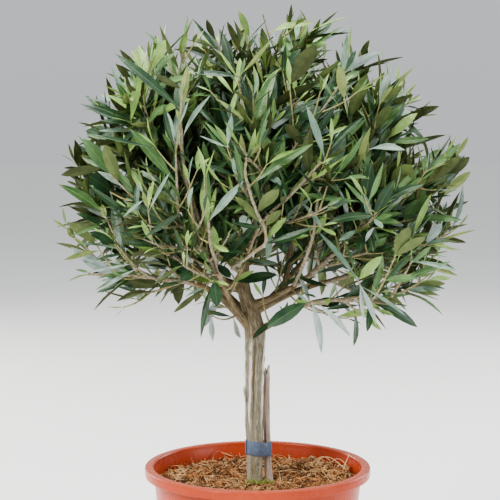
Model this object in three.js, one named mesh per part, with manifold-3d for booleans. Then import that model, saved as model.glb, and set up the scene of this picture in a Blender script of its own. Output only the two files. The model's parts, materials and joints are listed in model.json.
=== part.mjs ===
// A young olive tree in a plastic nursery pot: pot, coir-topped soil, trunk with a cut side stem tied
// to it, boughs, and masses of leafy twigs. Millimetres, +Z up, origin at the centre of the pot's flat
// underside. +X is the tree's right and +Y its back.
import * as THREE from "three";
import { mergeVertices } from "three/addons/utils/BufferGeometryUtils.js";
import Module from "manifold-3d";

const wasm = await Module();
wasm.setup();

const UP = new THREE.Vector3(0, 0, 1);
const CLEAR = 0.3; // gap between pieces that touch
const tree = new THREE.Group();

// ---------------------------------------------------------------- solids and meshes

function toSolid(geometry) {
  const bare = geometry.clone();
  bare.deleteAttribute("normal");
  bare.deleteAttribute("uv");
  const merged = mergeVertices(bare, 1e-4);
  return new wasm.Manifold(
    new wasm.Mesh({
      numProp: 3,
      vertProperties: new Float32Array(merged.attributes.position.array),
      triVerts: new Uint32Array(merged.index.array),
    }),
  );
}

function toGeometry(solid) {
  const mesh = solid.getMesh();
  const geometry = new THREE.BufferGeometry();
  geometry.setAttribute("position", new THREE.BufferAttribute(mesh.vertProperties, 3));
  geometry.setIndex(new THREE.BufferAttribute(mesh.triVerts, 1));
  geometry.computeVertexNormals();
  return geometry;
}

function addPiece(name, geometry, material) {
  const mesh = new THREE.Mesh(geometry, material);
  mesh.name = name;
  tree.add(mesh);
}

function finish(color, roughness) {
  return new THREE.MeshStandardMaterial({ color, roughness, metalness: 0 });
}

// A closed limb: a cylinder bent along the curve. radiusAt gives its radius at each share of the length.
function limbGeometry(curve, radiusAt, sides, steps) {
  const geometry = new THREE.CylinderGeometry(1, 1, 1, sides, steps);
  const frames = curve.computeFrenetFrames(steps, false);
  const position = geometry.attributes.position;
  for (let i = 0; i < position.count; i++) {
    const step = Math.round((position.getY(i) + 0.5) * steps);
    const share = step / steps;
    const radius = radiusAt(share);
    const point = curve.getPointAt(share);
    point.addScaledVector(frames.normals[step], position.getX(i) * radius);
    point.addScaledVector(frames.binormals[step], -position.getZ(i) * radius);
    position.setXYZ(i, point.x, point.y, point.z);
  }
  return geometry;
}

const between = ([low, high], share) => low + (high - low) * share;
const straightTaper = (base, tip) => (share) => between([base, tip], share);

// ---------------------------------------------------------------- pot

const POT_HEIGHT = 168;
const RIM_RADIUS = 100;
const RIM_DROP = 8.5; // height of the skirt that hangs from the lip
const RIM_WALL = 1.6;
const WALL_TOP_RADIUS = 93.2; // outside of the wall, at the lip
const WALL_FOOT_RADIUS = 74;
const FOOT_EDGE = 2; // the bevel round the foot
const POT_WALL = 1.6;
const POT_FLOOR = 2.4;
const LIP_THICK = 2.4;
const LIP_ROUND = 1.8;
const AROUND = 36; // facets round the pot
const DRAIN_COUNT = 8;
const DRAIN = { width: 14, height: 7, depth: 16 };

function potProfile() {
  const wallAt = (z) => WALL_FOOT_RADIUS + ((WALL_TOP_RADIUS - WALL_FOOT_RADIUS) * z) / POT_HEIGHT;
  const lipUnder = POT_HEIGHT - LIP_THICK;
  const outline = [
    [0, 0],
    [WALL_FOOT_RADIUS - FOOT_EDGE, 0],
    [wallAt(FOOT_EDGE), FOOT_EDGE],
    [wallAt(lipUnder), lipUnder],
    [RIM_RADIUS - RIM_WALL, lipUnder],
    [RIM_RADIUS - RIM_WALL, POT_HEIGHT - RIM_DROP],
    [RIM_RADIUS, POT_HEIGHT - RIM_DROP],
    [RIM_RADIUS, POT_HEIGHT - LIP_ROUND],
    [RIM_RADIUS - LIP_ROUND * 0.3, POT_HEIGHT - LIP_ROUND * 0.3],
    [RIM_RADIUS - LIP_ROUND, POT_HEIGHT],
    [wallAt(POT_HEIGHT), POT_HEIGHT],
    [wallAt(POT_HEIGHT) - POT_WALL, POT_HEIGHT - LIP_ROUND],
    [wallAt(POT_FLOOR) - POT_WALL, POT_FLOOR],
    [0, POT_FLOOR],
  ];
  return outline.map(([r, z]) => new THREE.Vector2(r, z));
}

// LatheGeometry turns about Y, so the turned shape is stood up along +Z.
function turned(profile) {
  return new THREE.LatheGeometry(profile, AROUND).rotateX(Math.PI / 2);
}

function potSolid() {
  let pot = toSolid(turned(potProfile()));
  for (let i = 0; i < DRAIN_COUNT; i++) {
    const slot = new THREE.BoxGeometry(DRAIN.depth, DRAIN.width, DRAIN.height * 2);
    slot.translate(WALL_FOOT_RADIUS, 0, 0);
    slot.rotateZ(((i + 0.5) * 2 * Math.PI) / DRAIN_COUNT);
    pot = pot.subtract(toSolid(slot));
  }
  return pot;
}

addPiece("pot", toGeometry(potSolid()), finish(0xb5573a, 0.45));

// ---------------------------------------------------------------- soil

const SOIL_BELOW_RIM = 17;
const SOIL_TOP = POT_HEIGHT - SOIL_BELOW_RIM;
const SOIL_RINGS = 5;
const SOIL_SWELL = 3; // how far the coir heaps up and sinks
const SOIL_FLAT = 24; // level disc at the foot of the trunk

// The heaps of the coir: level at the trunk, sinking a little where it meets the pot.
function soilHeight(x, y) {
  const radius = Math.hypot(x, y);
  const away = THREE.MathUtils.smoothstep(radius, SOIL_FLAT, SOIL_FLAT * 2);
  const heaps = Math.sin(x * 0.083 + 1.3) * Math.cos(y * 0.071 - 0.4) + 0.5 * Math.sin(x * 0.15 - y * 0.12);
  return SOIL_TOP + away * SOIL_SWELL * heaps * 0.6;
}

function soilGeometry() {
  const wallInside = (z) =>
    WALL_FOOT_RADIUS + ((WALL_TOP_RADIUS - WALL_FOOT_RADIUS) * z) / POT_HEIGHT - POT_WALL - CLEAR * 1.5;
  const bottom = POT_FLOOR + CLEAR;
  const topRadius = wallInside(SOIL_TOP - SOIL_SWELL);
  const profile = [new THREE.Vector2(0, bottom), new THREE.Vector2(wallInside(bottom), bottom)];
  for (let ring = SOIL_RINGS; ring >= 0; ring--)
    profile.push(new THREE.Vector2((topRadius * ring) / SOIL_RINGS, SOIL_TOP));
  const geometry = turned(profile);
  const position = geometry.attributes.position;
  for (let i = 0; i < position.count; i++)
    if (position.getZ(i) > SOIL_TOP - 1)
      position.setZ(i, soilHeight(position.getX(i), position.getY(i)));
  return geometry;
}

addPiece("coir_soil", soilGeometry(), finish(0x8a5a34, 0.95));

// ---------------------------------------------------------------- trunk and cut side stem

// Stations up a stem: height above the soil, where its middle stands, and its radius.
const TRUNK = [
  { height: CLEAR, x: -2.2, y: 0, radius: 8.6 },
  { height: 9, x: -2.2, y: 0, radius: 7.6 },
  { height: 60, x: -3.0, y: 0, radius: 7.6 },
  { height: 112, x: -2.4, y: 0, radius: 8.6 },
  { height: 134, x: -2.0, y: 0, radius: 9.2 },
  { height: 152, x: -5.4, y: 0, radius: 7.2 },
  { height: 176, x: -13.4, y: 0, radius: 5.6 },
];
const SIDE_STEM = [
  { height: CLEAR, x: 10.4, y: 2.6, radius: 3.9 },
  { height: 10, x: 9.6, y: 2.8, radius: 3.3 },
  { height: 60, x: 8.0, y: 5.2, radius: 3.1 },
  { height: 100, x: 8.2, y: 5.6, radius: 2.9 },
  { height: 105, x: 8.4, y: 5.6, radius: 3.3 },
];

function stationCurve(stations) {
  const points = stations.map((s) => new THREE.Vector3(s.x, s.y, SOIL_TOP + s.height));
  return new THREE.CatmullRomCurve3(points, false, "centripetal");
}

// Radius against the share of the way up, straight between stations.
function stationRadius(stations) {
  const first = stations[0].height;
  const span = stations.at(-1).height - first;
  return (share) => {
    const height = first + share * span;
    const above = Math.max(1, stations.findIndex((s) => s.height >= height - 1e-6));
    const [low, high] = [stations[above - 1], stations[above]];
    const mix = (height - low.height) / (high.height - low.height);
    return between([low.radius, high.radius], mix);
  };
}

const BARK = finish(0x8f8371, 0.85);
const trunkCurve = stationCurve(TRUNK);
const trunkRadius = stationRadius(TRUNK);
const TRUNK_SIDES = 11;
const TRUNK_STEPS = 12;

// The first ring lies exactly level, so the stem stands on a flat cut.
function stemSolid(curve, radiusAt, sides, steps) {
  const geometry = limbGeometry(curve, radiusAt, sides, steps);
  const position = geometry.attributes.position;
  const foot = SOIL_TOP + CLEAR;
  const ring = curve.getPointAt(0);
  for (let i = 0; i < position.count; i++) {
    const point = new THREE.Vector3().fromBufferAttribute(position, i);
    const atFoot = point.distanceTo(ring) < radiusAt(0) * 1.05 && point.z < foot + 2;
    if (atFoot) position.setZ(i, foot);
  }
  return toSolid(geometry);
}

addPiece("trunk", toGeometry(stemSolid(trunkCurve, trunkRadius, TRUNK_SIDES, TRUNK_STEPS)), BARK);

const SIDE_STEM_SIDES = 10;
const SIDE_STEM_STEPS = 8;
const sideCurve = stationCurve(SIDE_STEM);
const sideStem = stemSolid(sideCurve, stationRadius(SIDE_STEM), SIDE_STEM_SIDES, SIDE_STEM_STEPS);
addPiece("cut_side_stem", toGeometry(sideStem), finish(0xa08c78, 0.9));

// ---------------------------------------------------------------- tie band

const BAND = { middle: 33, width: 12.5, thickness: 0.7 };
const BAND_SLACK = CLEAR + 0.25; // the belt's flat facets reach in by the difference
const BELT_FACETS = 10; // round each stem

// The outline of a belt drawn tight round two circles.
function beltOutline(a, b, grow) {
  const distance = Math.hypot(b.x - a.x, b.y - a.y);
  const heading = Math.atan2(b.y - a.y, b.x - a.x);
  const lean = Math.acos((a.radius - b.radius) / distance);
  const arc = (c, from, to) =>
    Array.from({ length: BELT_FACETS + 1 }, (_, i) => {
      const angle = from + ((to - from) * i) / BELT_FACETS;
      return new THREE.Vector2(
        c.x + (c.radius + grow) * Math.cos(angle),
        c.y + (c.radius + grow) * Math.sin(angle),
      );
    });
  return [
    ...arc(b, heading - lean, heading + lean),
    ...arc(a, heading + lean, heading + 2 * Math.PI - lean),
  ];
}

function stationAt(stations, height) {
  const above = stations.findIndex((s) => s.height >= height);
  const [low, high] = [stations[above - 1], stations[above]];
  const mix = (height - low.height) / (high.height - low.height);
  const value = (key) => between([low[key], high[key]], mix);
  return { x: value("x"), y: value("y"), radius: value("radius") };
}

const held = [stationAt(TRUNK, BAND.middle), stationAt(SIDE_STEM, BAND.middle)];
const bandShape = new THREE.Shape(beltOutline(...held, BAND_SLACK + BAND.thickness));
bandShape.holes.push(new THREE.Path(beltOutline(...held, BAND_SLACK)));
const bandGeometry = new THREE.ExtrudeGeometry(bandShape, { depth: BAND.width, bevelEnabled: false });
bandGeometry.translate(0, 0, SOIL_TOP + BAND.middle - BAND.width / 2);
addPiece("tie_band", bandGeometry, finish(0x4d5a70, 0.6));

// ---------------------------------------------------------------- boughs

// Each bough leaves its parent at a share of the parent's length, runs "reach" out along its azimuth
// (degrees, 0 = right, 90 = back) and climbs "rise". "early" is the share of the rise spent by half way.
// "turn" and "climb" say how its mass of foliage carries on from the bough's tip, "run" how far the
// mass's own stem goes, and "every" how far apart its pairs of leaves are.
const BOUGHS = [
  {
    name: "left_low", parent: "trunk", at: 0.74, azimuth: 205, reach: 60, rise: 50, early: 0.85,
    radii: [4.4, 2.4], seed: 11, turn: -6, climb: 7, run: 92, every: 14,
  },
  {
    name: "left_high", parent: "trunk", at: 0.985, azimuth: 168, reach: 52, rise: 22, early: 0.45,
    radii: [4.2, 2.4], seed: 23, turn: 4, climb: 27, run: 104, every: 17,
  },
  {
    name: "upper_left", parent: "left_high", at: 0.42, azimuth: 212, reach: 14, rise: 40, early: 0.4,
    radii: [2.6, 2.0], seed: 37, turn: 0, climb: 62, run: 114, every: 31,
  },
  {
    name: "centre", parent: "trunk", at: 0.985, azimuth: 60, reach: 6, rise: 40, early: 0.5,
    radii: [4.4, 2.6], seed: 41, turn: 0, climb: 84, run: 138, every: 29,
  },
  {
    name: "front", parent: "left_high", at: 0.16, azimuth: 288, reach: 42, rise: 36, early: 0.3,
    radii: [2.6, 1.9], seed: 53, turn: 0, climb: 50, run: 92, every: 24,
  },
  {
    name: "front_left", parent: "left_low", at: 0.32, azimuth: 248, reach: 38, rise: 34, early: 0.35,
    radii: [2.8, 2.0], seed: 67, turn: -10, climb: 38, run: 90, every: 19,
  },
  {
    name: "right_mid", parent: "trunk", at: 0.9, azimuth: 338, reach: 44, rise: 20, early: 0.3,
    radii: [3.2, 2.2], seed: 71, turn: -14, climb: 42, run: 108, every: 26,
  },
  {
    name: "right_far", parent: "trunk", at: 0.86, azimuth: 12, reach: 60, rise: 24, early: 0.7,
    radii: [4.0, 2.4], seed: 83, turn: -4, climb: 14, run: 104, every: 19,
  },
  {
    name: "upper_right", parent: "right_far", at: 0.5, azimuth: 60, reach: 12, rise: 40, early: 0.5,
    radii: [3.0, 2.2], seed: 97, turn: -20, climb: 62, run: 112, every: 28,
  },
  {
    name: "right_low", parent: "trunk", at: 0.76, azimuth: 318, reach: 50, rise: 26, early: 0.5,
    radii: [3.2, 2.0], seed: 101, turn: 8, climb: 6, run: 94, every: 14,
  },
  {
    name: "back", parent: "trunk", at: 0.92, azimuth: 98, reach: 42, rise: 46, early: 0.45,
    radii: [3.8, 2.4], seed: 113, turn: 0, climb: 50, run: 108, every: 27,
  },
  {
    name: "back_left", parent: "trunk", at: 0.8, azimuth: 130, reach: 58, rise: 34, early: 0.6,
    radii: [3.8, 2.4], seed: 127, turn: 0, climb: 13, run: 100, every: 16,
  },
  {
    name: "back_right", parent: "right_far", at: 0.2, azimuth: 54, reach: 56, rise: 32, early: 0.45,
    radii: [3.2, 2.2], seed: 131, turn: -4, climb: 18, run: 98, every: 19,
  },
];
const BOUGH_SIDES = 6;
const BOUGH_STEPS = 5;

const limbs = { trunk: { curve: trunkCurve, radiusAt: trunkRadius } };

function heading(azimuth, climb) {
  const [a, c] = [THREE.MathUtils.degToRad(azimuth), THREE.MathUtils.degToRad(climb)];
  return new THREE.Vector3(Math.cos(a) * Math.cos(c), Math.sin(a) * Math.cos(c), Math.sin(c));
}

for (const bough of BOUGHS) {
  const parent = limbs[bough.parent];
  const start = parent.curve.getPointAt(bough.at);
  const out = heading(bough.azimuth, 0).multiplyScalar(bough.reach);
  const middle = start.clone().addScaledVector(out, 0.5).addScaledVector(UP, bough.rise * bough.early);
  const end = start.clone().add(out).addScaledVector(UP, bough.rise);
  const curve = new THREE.QuadraticBezierCurve3(start, middle, end);
  limbs[bough.name] = { curve, radiusAt: straightTaper(...bough.radii) };
}

// A limb's solid, grown by "grow" all round: the cutter that keeps its neighbours clear of it.
function limbSolid(name, grow) {
  const { curve, radiusAt } = limbs[name];
  const [sides, steps] = name === "trunk" ? [TRUNK_SIDES, TRUNK_STEPS] : [BOUGH_SIDES, BOUGH_STEPS];
  return toSolid(limbGeometry(curve, (share) => radiusAt(share) + grow, sides, steps));
}

// What is left of a cut solid, without the scraps that the cut leaves loose.
function largestPart(solid) {
  return solid.decompose().sort((a, b) => b.volume() - a.volume())[0];
}

// A bough keeps clear of every limb made before it, and of its parent above all.
const made = ["trunk"];
for (const bough of BOUGHS) {
  let solid = limbSolid(bough.name, 0);
  for (const other of made) solid = solid.subtract(limbSolid(other, CLEAR * 1.3));
  addPiece("bough_" + bough.name, toGeometry(largestPart(solid)), BARK);
  made.push(bough.name);
}

// ---------------------------------------------------------------- growth rule of the foliage

// The crown's outline: a dome, flatter below, that twigs and leaves stay inside.
const CROWN = { x: 5, y: 0, height: 246, left: 182, right: 192, side: 176, up: 176, down: 136, power: 2.4 };

const STEM_EASE = 0.3; // share of a mass's stem that still runs the way its bough does
const TWIG_EVERY = 19; // between the pairs of side twigs on a stem
const FIRST_TWIG = 0.55; // share of that distance below the first pair
const TWIG_SPREAD = 48; // degrees off the stem
const TWIG_SPREAD_PLAY = 22; // degrees between the closest and the widest
const TWIG_TURN_PLAY = 0.7; // radians that a twig strays round its stem
const TWIG_LENGTH = [20, 80];
const TWIG_REACH = [0.75, 1.05]; // share of the room up to the crown's outline that a twig takes
const LEAF_ROOM = 0.55; // share of a leaf's length left free for the leaves past a twig's tip
const TWIG_LIFT = 0.22; // how far a twig bends up, as a share of its length
const TWIG_HALF = 1.5; // half a twig's thickness, with the room round it
const SHORTER = [1, 0.72, 0.5]; // a twig that would leave its space is tried again shorter
const QUARTER_TURN = Math.PI / 2; // each pair of twigs or leaves stands across the pair before it
const STEEP = 0.94; // a stem nearer upright than this is turned about X instead of Z
const SPACE_MARGIN = 1.2; // between two masses' spaces
const LIMB_MARGIN = 2.2; // between foliage and a limb's bark

const LEAF = { length: 60, width: 15, widest: 0.46, thickness: 1.3, fold: 0.14, curl: 0.1, sunk: 0.4 };
const LEAF_LENGTHS = [0.78, 1.12]; // shares of LEAF.length and of LEAF.width
const LEAF_WIDTHS = [0.8, 1.25];
const LEAF_ANGLES = [44, 30, 18]; // degrees off the twig, closer where the first would leave the space
const LEAF_ANGLE_PLAY = 16;
const LEAF_CLOSER = 8; // degrees that the last leaves lie closer to the twig
const LEAF_TURN_PLAY = 0.5; // radians that a leaf strays round its twig
const LAST_LEAVES = 0.985; // share of a twig's length where its last pair stands
const TO_THE_LIGHT = 0.7; // how strongly a leaf's upper face turns up
const LEAF_SAMPLES = 6;
const LEAF_ROOT = 0.14; // share of a leaf, at its root, that may touch its own twig and its pair

// The same chain of numbers on every run: seed to seed by one multiplication.
function seededRandom(seed) {
  let state = (seed * 7919) % 2147483647;
  return () => {
    state = (state * 48271) % 2147483647;
    return state / 2147483647;
  };
}

// 0 at the crown's centre and 1 on its outline.
function crownShare(p) {
  const side = p.x < CROWN.x ? CROWN.left : CROWN.right;
  const over = p.z - SOIL_TOP - CROWN.height;
  const tall = over > 0 ? CROWN.up : CROWN.down;
  const parts = [(p.x - CROWN.x) / side, (p.y - CROWN.y) / CROWN.side, over / tall];
  return parts.reduce((sum, part) => sum + Math.abs(part) ** CROWN.power, 0);
}

// How far it is from a point to the crown's outline.
function roomAlong(start, direction) {
  const step = 4;
  const most = CROWN.left;
  let length = 0;
  while (length < most && crownShare(start.clone().addScaledVector(direction, length)) < 1) length += step;
  return length;
}

function bentCurve(start, direction, length, lift) {
  const middle = start.clone().addScaledVector(direction, length * 0.5);
  const end = start.clone().addScaledVector(direction, length).addScaledVector(UP, length * lift);
  return new THREE.QuadraticBezierCurve3(start, middle, end);
}

function samplesOf(curve, count) {
  return Array.from({ length: count + 1 }, (_, i) => curve.getPointAt(i / count));
}

function distanceToLine(p, line) {
  let least = Infinity;
  for (let i = 1; i < line.length; i++) {
    const along = line[i].clone().sub(line[i - 1]);
    const share = THREE.MathUtils.clamp(p.clone().sub(line[i - 1]).dot(along) / along.lengthSq(), 0, 1);
    least = Math.min(least, p.distanceTo(line[i - 1].clone().addScaledVector(along, share)));
  }
  return least;
}

// The stem of each mass, carrying on from its bough's tip.
const masses = BOUGHS.map((bough) => {
  const { curve } = limbs[bough.name];
  const tip = curve.getPointAt(1);
  const tangent = curve.getTangentAt(1);
  const onward = heading(bough.azimuth + bough.turn, bough.climb);
  const start = tip.clone().addScaledVector(tangent, CLEAR);
  const middle = start.clone().addScaledVector(tangent, bough.run * STEM_EASE);
  const end = start.clone().addScaledVector(onward, bough.run);
  const stem = new THREE.QuadraticBezierCurve3(start, middle, end);
  return { bough, stem, line: samplesOf(stem, 5) };
});

const limbLines = Object.values(limbs).map(({ curve, radiusAt }) => ({
  line: samplesOf(curve, 8),
  radius: Math.max(radiusAt(0.1), radiusAt(0.6)),
}));

// True where a point is in the mass's own space: in the crown, off the limbs, and nearer to the mass's
// stem than to any other mass's.
function inSpace(p, mass, ownSide) {
  if (crownShare(p) > 1) return false;
  const own = distanceToLine(p, mass.line);
  for (const other of masses)
    if (other !== mass && distanceToLine(p, other.line) < own + SPACE_MARGIN + ownSide) return false;
  return limbLines.every(({ line, radius }) => distanceToLine(p, line) > radius + LIMB_MARGIN + ownSide);
}

// The way a side shoot leaves a stem: "spread" degrees off it, "turn" radians round it.
function sideways(tangent, turn, spread) {
  const aside = Math.abs(tangent.z) > STEEP ? new THREE.Vector3(1, 0, 0) : UP;
  const side = new THREE.Vector3().crossVectors(tangent, aside).normalize().applyAxisAngle(tangent, turn);
  const angle = THREE.MathUtils.degToRad(spread);
  return tangent.clone().multiplyScalar(Math.cos(angle)).addScaledVector(side, Math.sin(angle));
}

function growTwigs(mass, random) {
  const twigs = [];
  const { stem, bough } = mass;
  const nodes = Math.max(2, Math.round(bough.run / TWIG_EVERY));
  const firstTurn = random() * QUARTER_TURN;
  for (let node = 0; node < nodes; node++) {
    const share = (node + FIRST_TWIG) / nodes;
    const point = stem.getPointAt(share);
    const tangent = stem.getTangentAt(share);
    for (const half of [0, 1]) {
      const turn = firstTurn + node * QUARTER_TURN + half * Math.PI + (random() - 0.5) * TWIG_TURN_PLAY;
      const spread = TWIG_SPREAD + (random() - 0.5) * TWIG_SPREAD_PLAY;
      const reach = between(TWIG_REACH, random());
      const seed = Math.floor(random() * 1e6) + 1;
      const direction = sideways(tangent, turn, spread);
      const room = (roomAlong(point, direction) - LEAF.length * LEAF_ROOM) * reach;
      const length = Math.min(TWIG_LENGTH[1], room);
      for (const shorter of SHORTER) {
        if (length * shorter < TWIG_LENGTH[0]) break;
        const curve = bentCurve(point, direction, length * shorter, TWIG_LIFT);
        const samples = samplesOf(curve, 8).slice(2);
        if (samples.every((p) => inSpace(p, mass, TWIG_HALF))) {
          twigs.push({ curve, length: length * shorter, seed });
          break;
        }
      }
    }
  }
  return twigs;
}

// A leaf of eight faces lying along +X: an octahedron drawn out, widest at LEAF.widest of its length,
// folded along its midrib and bent back towards its tip.
function leafGeometry(length, width) {
  const geometry = new THREE.OctahedronGeometry(1);
  const position = geometry.attributes.position;
  for (let i = 0; i < position.count; i++) {
    const [along, across, over] = [position.getX(i), position.getY(i), position.getZ(i)];
    const share = along === 0 ? LEAF.widest : (along + 1) / 2;
    const bend = LEAF.fold * Math.abs(across) * width - LEAF.curl * length * share ** 2;
    position.setXYZ(i, share * length, across * width * 0.5, over * LEAF.thickness * 0.5 + bend);
  }
  return geometry;
}

// A leaf's own axes: +X along it, +Z out of its upper face, which turns some way towards the light.
function leafPlace(point, direction, tangent) {
  const upper = tangent.clone().addScaledVector(UP, TO_THE_LIGHT);
  upper.addScaledVector(direction, -upper.dot(direction)).normalize();
  const across = new THREE.Vector3().crossVectors(upper, direction);
  return new THREE.Matrix4().makeBasis(direction, across, upper).setPosition(point);
}

function placedLeaf(point, direction, tangent, size) {
  const [length, width] = [LEAF.length * size.length, LEAF.width * size.width];
  const root = point.clone().addScaledVector(direction, -LEAF.sunk);
  const place = leafPlace(root, direction, tangent);
  const outline = [];
  for (let i = 1; i <= LEAF_SAMPLES; i++) {
    const share = i / LEAF_SAMPLES;
    const half = width * 0.5 * Math.sqrt(Math.max(0, 1 - (2 * share - 1) ** 2));
    for (const across of [-half, half]) {
      const down = -LEAF.curl * length * share ** 2;
      outline.push(new THREE.Vector3(share * length, across, down).applyMatrix4(place));
    }
  }
  const outer = leafGeometry(length * (1 - LEAF_ROOT), width).translate(length * LEAF_ROOT, 0, 0);
  return {
    outline,
    solid: () => toSolid(leafGeometry(length, width).applyMatrix4(place)),
    outerPart: () => toSolid(outer.clone().applyMatrix4(place)),
  };
}

function boxesMeet(a, b) {
  return [0, 1, 2].every((axis) => a.min[axis] < b.max[axis] && b.min[axis] < a.max[axis]);
}

// True where a leaf, past its root, would cut through a twig or leaf that stands already.
function cutsStanding(leaf, standing) {
  const outer = leaf.outerPart();
  const box = outer.boundingBox();
  return standing.some((other) => boxesMeet(box, other.box) && !outer.intersect(other.solid).isEmpty());
}

function growLeaves(mass, curve, length, from, seed, standing) {
  const random = seededRandom(seed);
  const nodes = Math.max(1, Math.round((length * (1 - from)) / mass.bough.every));
  const firstTurn = random() * Math.PI;
  for (let node = 0; node <= nodes; node++) {
    const share = Math.min(from + ((1 - from) * node) / nodes, LAST_LEAVES);
    const point = curve.getPointAt(share);
    const tangent = curve.getTangentAt(share);
    for (const half of [0, 1]) {
      const turn = firstTurn + node * QUARTER_TURN + half * Math.PI + (random() - 0.5) * LEAF_TURN_PLAY;
      const wider = (random() - 0.5) * LEAF_ANGLE_PLAY;
      const size = { length: between(LEAF_LENGTHS, random()), width: between(LEAF_WIDTHS, random()) };
      for (const angle of LEAF_ANGLES) {
        const spread = angle + wider * (angle / LEAF_ANGLES[0]) - share * LEAF_CLOSER;
        const direction = sideways(tangent, turn, spread);
        const leaf = placedLeaf(point, direction, tangent, size);
        if (leaf.outline.every((p) => inSpace(p, mass, 0)) && !cutsStanding(leaf, standing)) {
          const solid = leaf.solid();
          standing.push({ solid, box: solid.boundingBox() });
          break;
        }
      }
    }
  }
}

// ---------------------------------------------------------------- masses of foliage

const LEAFY_FROM = { twig: 0.25, stem: 0.3 }; // bare below this share of the length
const STEM_SIDES = 5;
const TWIG_SIDES = 3;
const SMALLEST_FACE = 0.1; // slivers flatter than this are merged away
const TWIG_RADII = [1.9, 1.1];
const FOLIAGE = finish(0x5a7350, 0.6);

for (const mass of masses) {
  const { bough, stem } = mass;
  const twigs = growTwigs(mass, seededRandom(bough.seed));
  const wood = [
    limbGeometry(stem, straightTaper(bough.radii[1], TWIG_RADII[1]), STEM_SIDES, 4),
    ...twigs.map((twig) => limbGeometry(twig.curve, straightTaper(...TWIG_RADII), TWIG_SIDES, 2)),
  ];
  const standing = wood.map((geometry) => {
    const solid = toSolid(geometry);
    return { solid, box: solid.boundingBox() };
  });
  for (const twig of twigs) growLeaves(mass, twig.curve, twig.length, LEAFY_FROM.twig, twig.seed, standing);
  growLeaves(mass, stem, bough.run, LEAFY_FROM.stem, bough.seed + 5, standing);
  let solid = wasm.Manifold.union(standing.map((piece) => piece.solid));
  for (const name of Object.keys(limbs)) solid = solid.subtract(limbSolid(name, CLEAR));
  const whole = largestPart(solid.asOriginal().simplify(SMALLEST_FACE));
  addPiece("foliage_" + bough.name, toGeometry(whole), FOLIAGE);
}

export default tree;
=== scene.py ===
import json
import math
import random
from collections import namedtuple

import bmesh
import bpy
import numpy as np
from mathutils import Euler, Matrix, Vector, noise

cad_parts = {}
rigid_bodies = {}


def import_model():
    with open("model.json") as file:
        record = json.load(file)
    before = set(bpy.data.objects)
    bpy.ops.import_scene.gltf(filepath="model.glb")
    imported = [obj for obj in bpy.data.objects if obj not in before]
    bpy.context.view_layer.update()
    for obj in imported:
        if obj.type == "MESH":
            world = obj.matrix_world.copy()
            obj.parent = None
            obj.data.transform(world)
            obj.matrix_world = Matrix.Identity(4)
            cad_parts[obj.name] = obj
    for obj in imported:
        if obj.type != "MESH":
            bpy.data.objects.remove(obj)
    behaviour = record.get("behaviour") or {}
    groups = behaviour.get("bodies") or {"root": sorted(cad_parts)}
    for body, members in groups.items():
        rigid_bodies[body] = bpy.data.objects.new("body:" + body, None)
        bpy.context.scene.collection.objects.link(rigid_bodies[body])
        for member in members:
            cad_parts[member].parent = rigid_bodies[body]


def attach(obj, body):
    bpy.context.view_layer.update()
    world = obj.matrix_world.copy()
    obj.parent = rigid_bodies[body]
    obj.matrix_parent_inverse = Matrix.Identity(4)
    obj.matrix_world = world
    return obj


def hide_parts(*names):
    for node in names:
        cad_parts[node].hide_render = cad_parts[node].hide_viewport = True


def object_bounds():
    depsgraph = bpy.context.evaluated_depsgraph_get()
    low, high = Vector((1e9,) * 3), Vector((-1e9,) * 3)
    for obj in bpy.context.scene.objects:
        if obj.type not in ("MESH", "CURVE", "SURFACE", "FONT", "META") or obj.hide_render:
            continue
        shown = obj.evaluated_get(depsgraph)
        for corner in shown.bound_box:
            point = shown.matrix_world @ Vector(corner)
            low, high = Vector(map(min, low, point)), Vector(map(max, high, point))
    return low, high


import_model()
cad_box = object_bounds()
scene = bpy.context.scene
MM = 0.001


# ---------------------------------------------------------------- camera, floor and light
# The tree stands on a plain pale floor in soft daylight from above, with a brighter sky to its left
# and behind it. The camera looks at the crown's middle from a little over a metre away.
EYE = (-0.0067, -1.300, 0.474)
LOOK_DOWN = 5.05  # degrees
LENS = {"lens": 107.06, "sensor_width": 36}
FLOOR_RADIUS = 14
SKY_GREYS = (0.72, 1.0)  # at the horizon, where it meets the floor's own tone, and overhead
SKY_STRENGTH = 0.72
# name: place, size, watts, colour; each lamp points at the crown
LAMPS = {
    "window_left": ((-1.5, -1.3, 1.7), 1.0, 56, (1.0, 0.98, 0.94)),
    "window_right": ((1.9, -0.9, 1.1), 1.0, 16, (0.93, 0.97, 1.0)),
    "sky_above": ((0.1, 0.1, 2.3), 1.3, 52, (0.97, 0.99, 1.0)),
    "glow_behind_left": ((-1.5, 1.5, 0.9), 1.0, 24, (1.0, 0.97, 0.9)),
    "glow_behind_right": ((1.6, 1.4, 1.0), 1.0, 20, (1.0, 0.98, 0.94)),
}


def new_object(name, data):
    made = bpy.data.objects.new(name, data)
    scene.collection.objects.link(made)
    return made


def poured(name, made):
    """A new object with the mesh that was built in made."""
    mesh = bpy.data.meshes.new(name)
    made.to_mesh(mesh)
    made.free()
    return new_object(name, mesh)


def dress(piece, finish):
    piece.data.materials.clear()
    piece.data.materials.append(finish.material)


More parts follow.
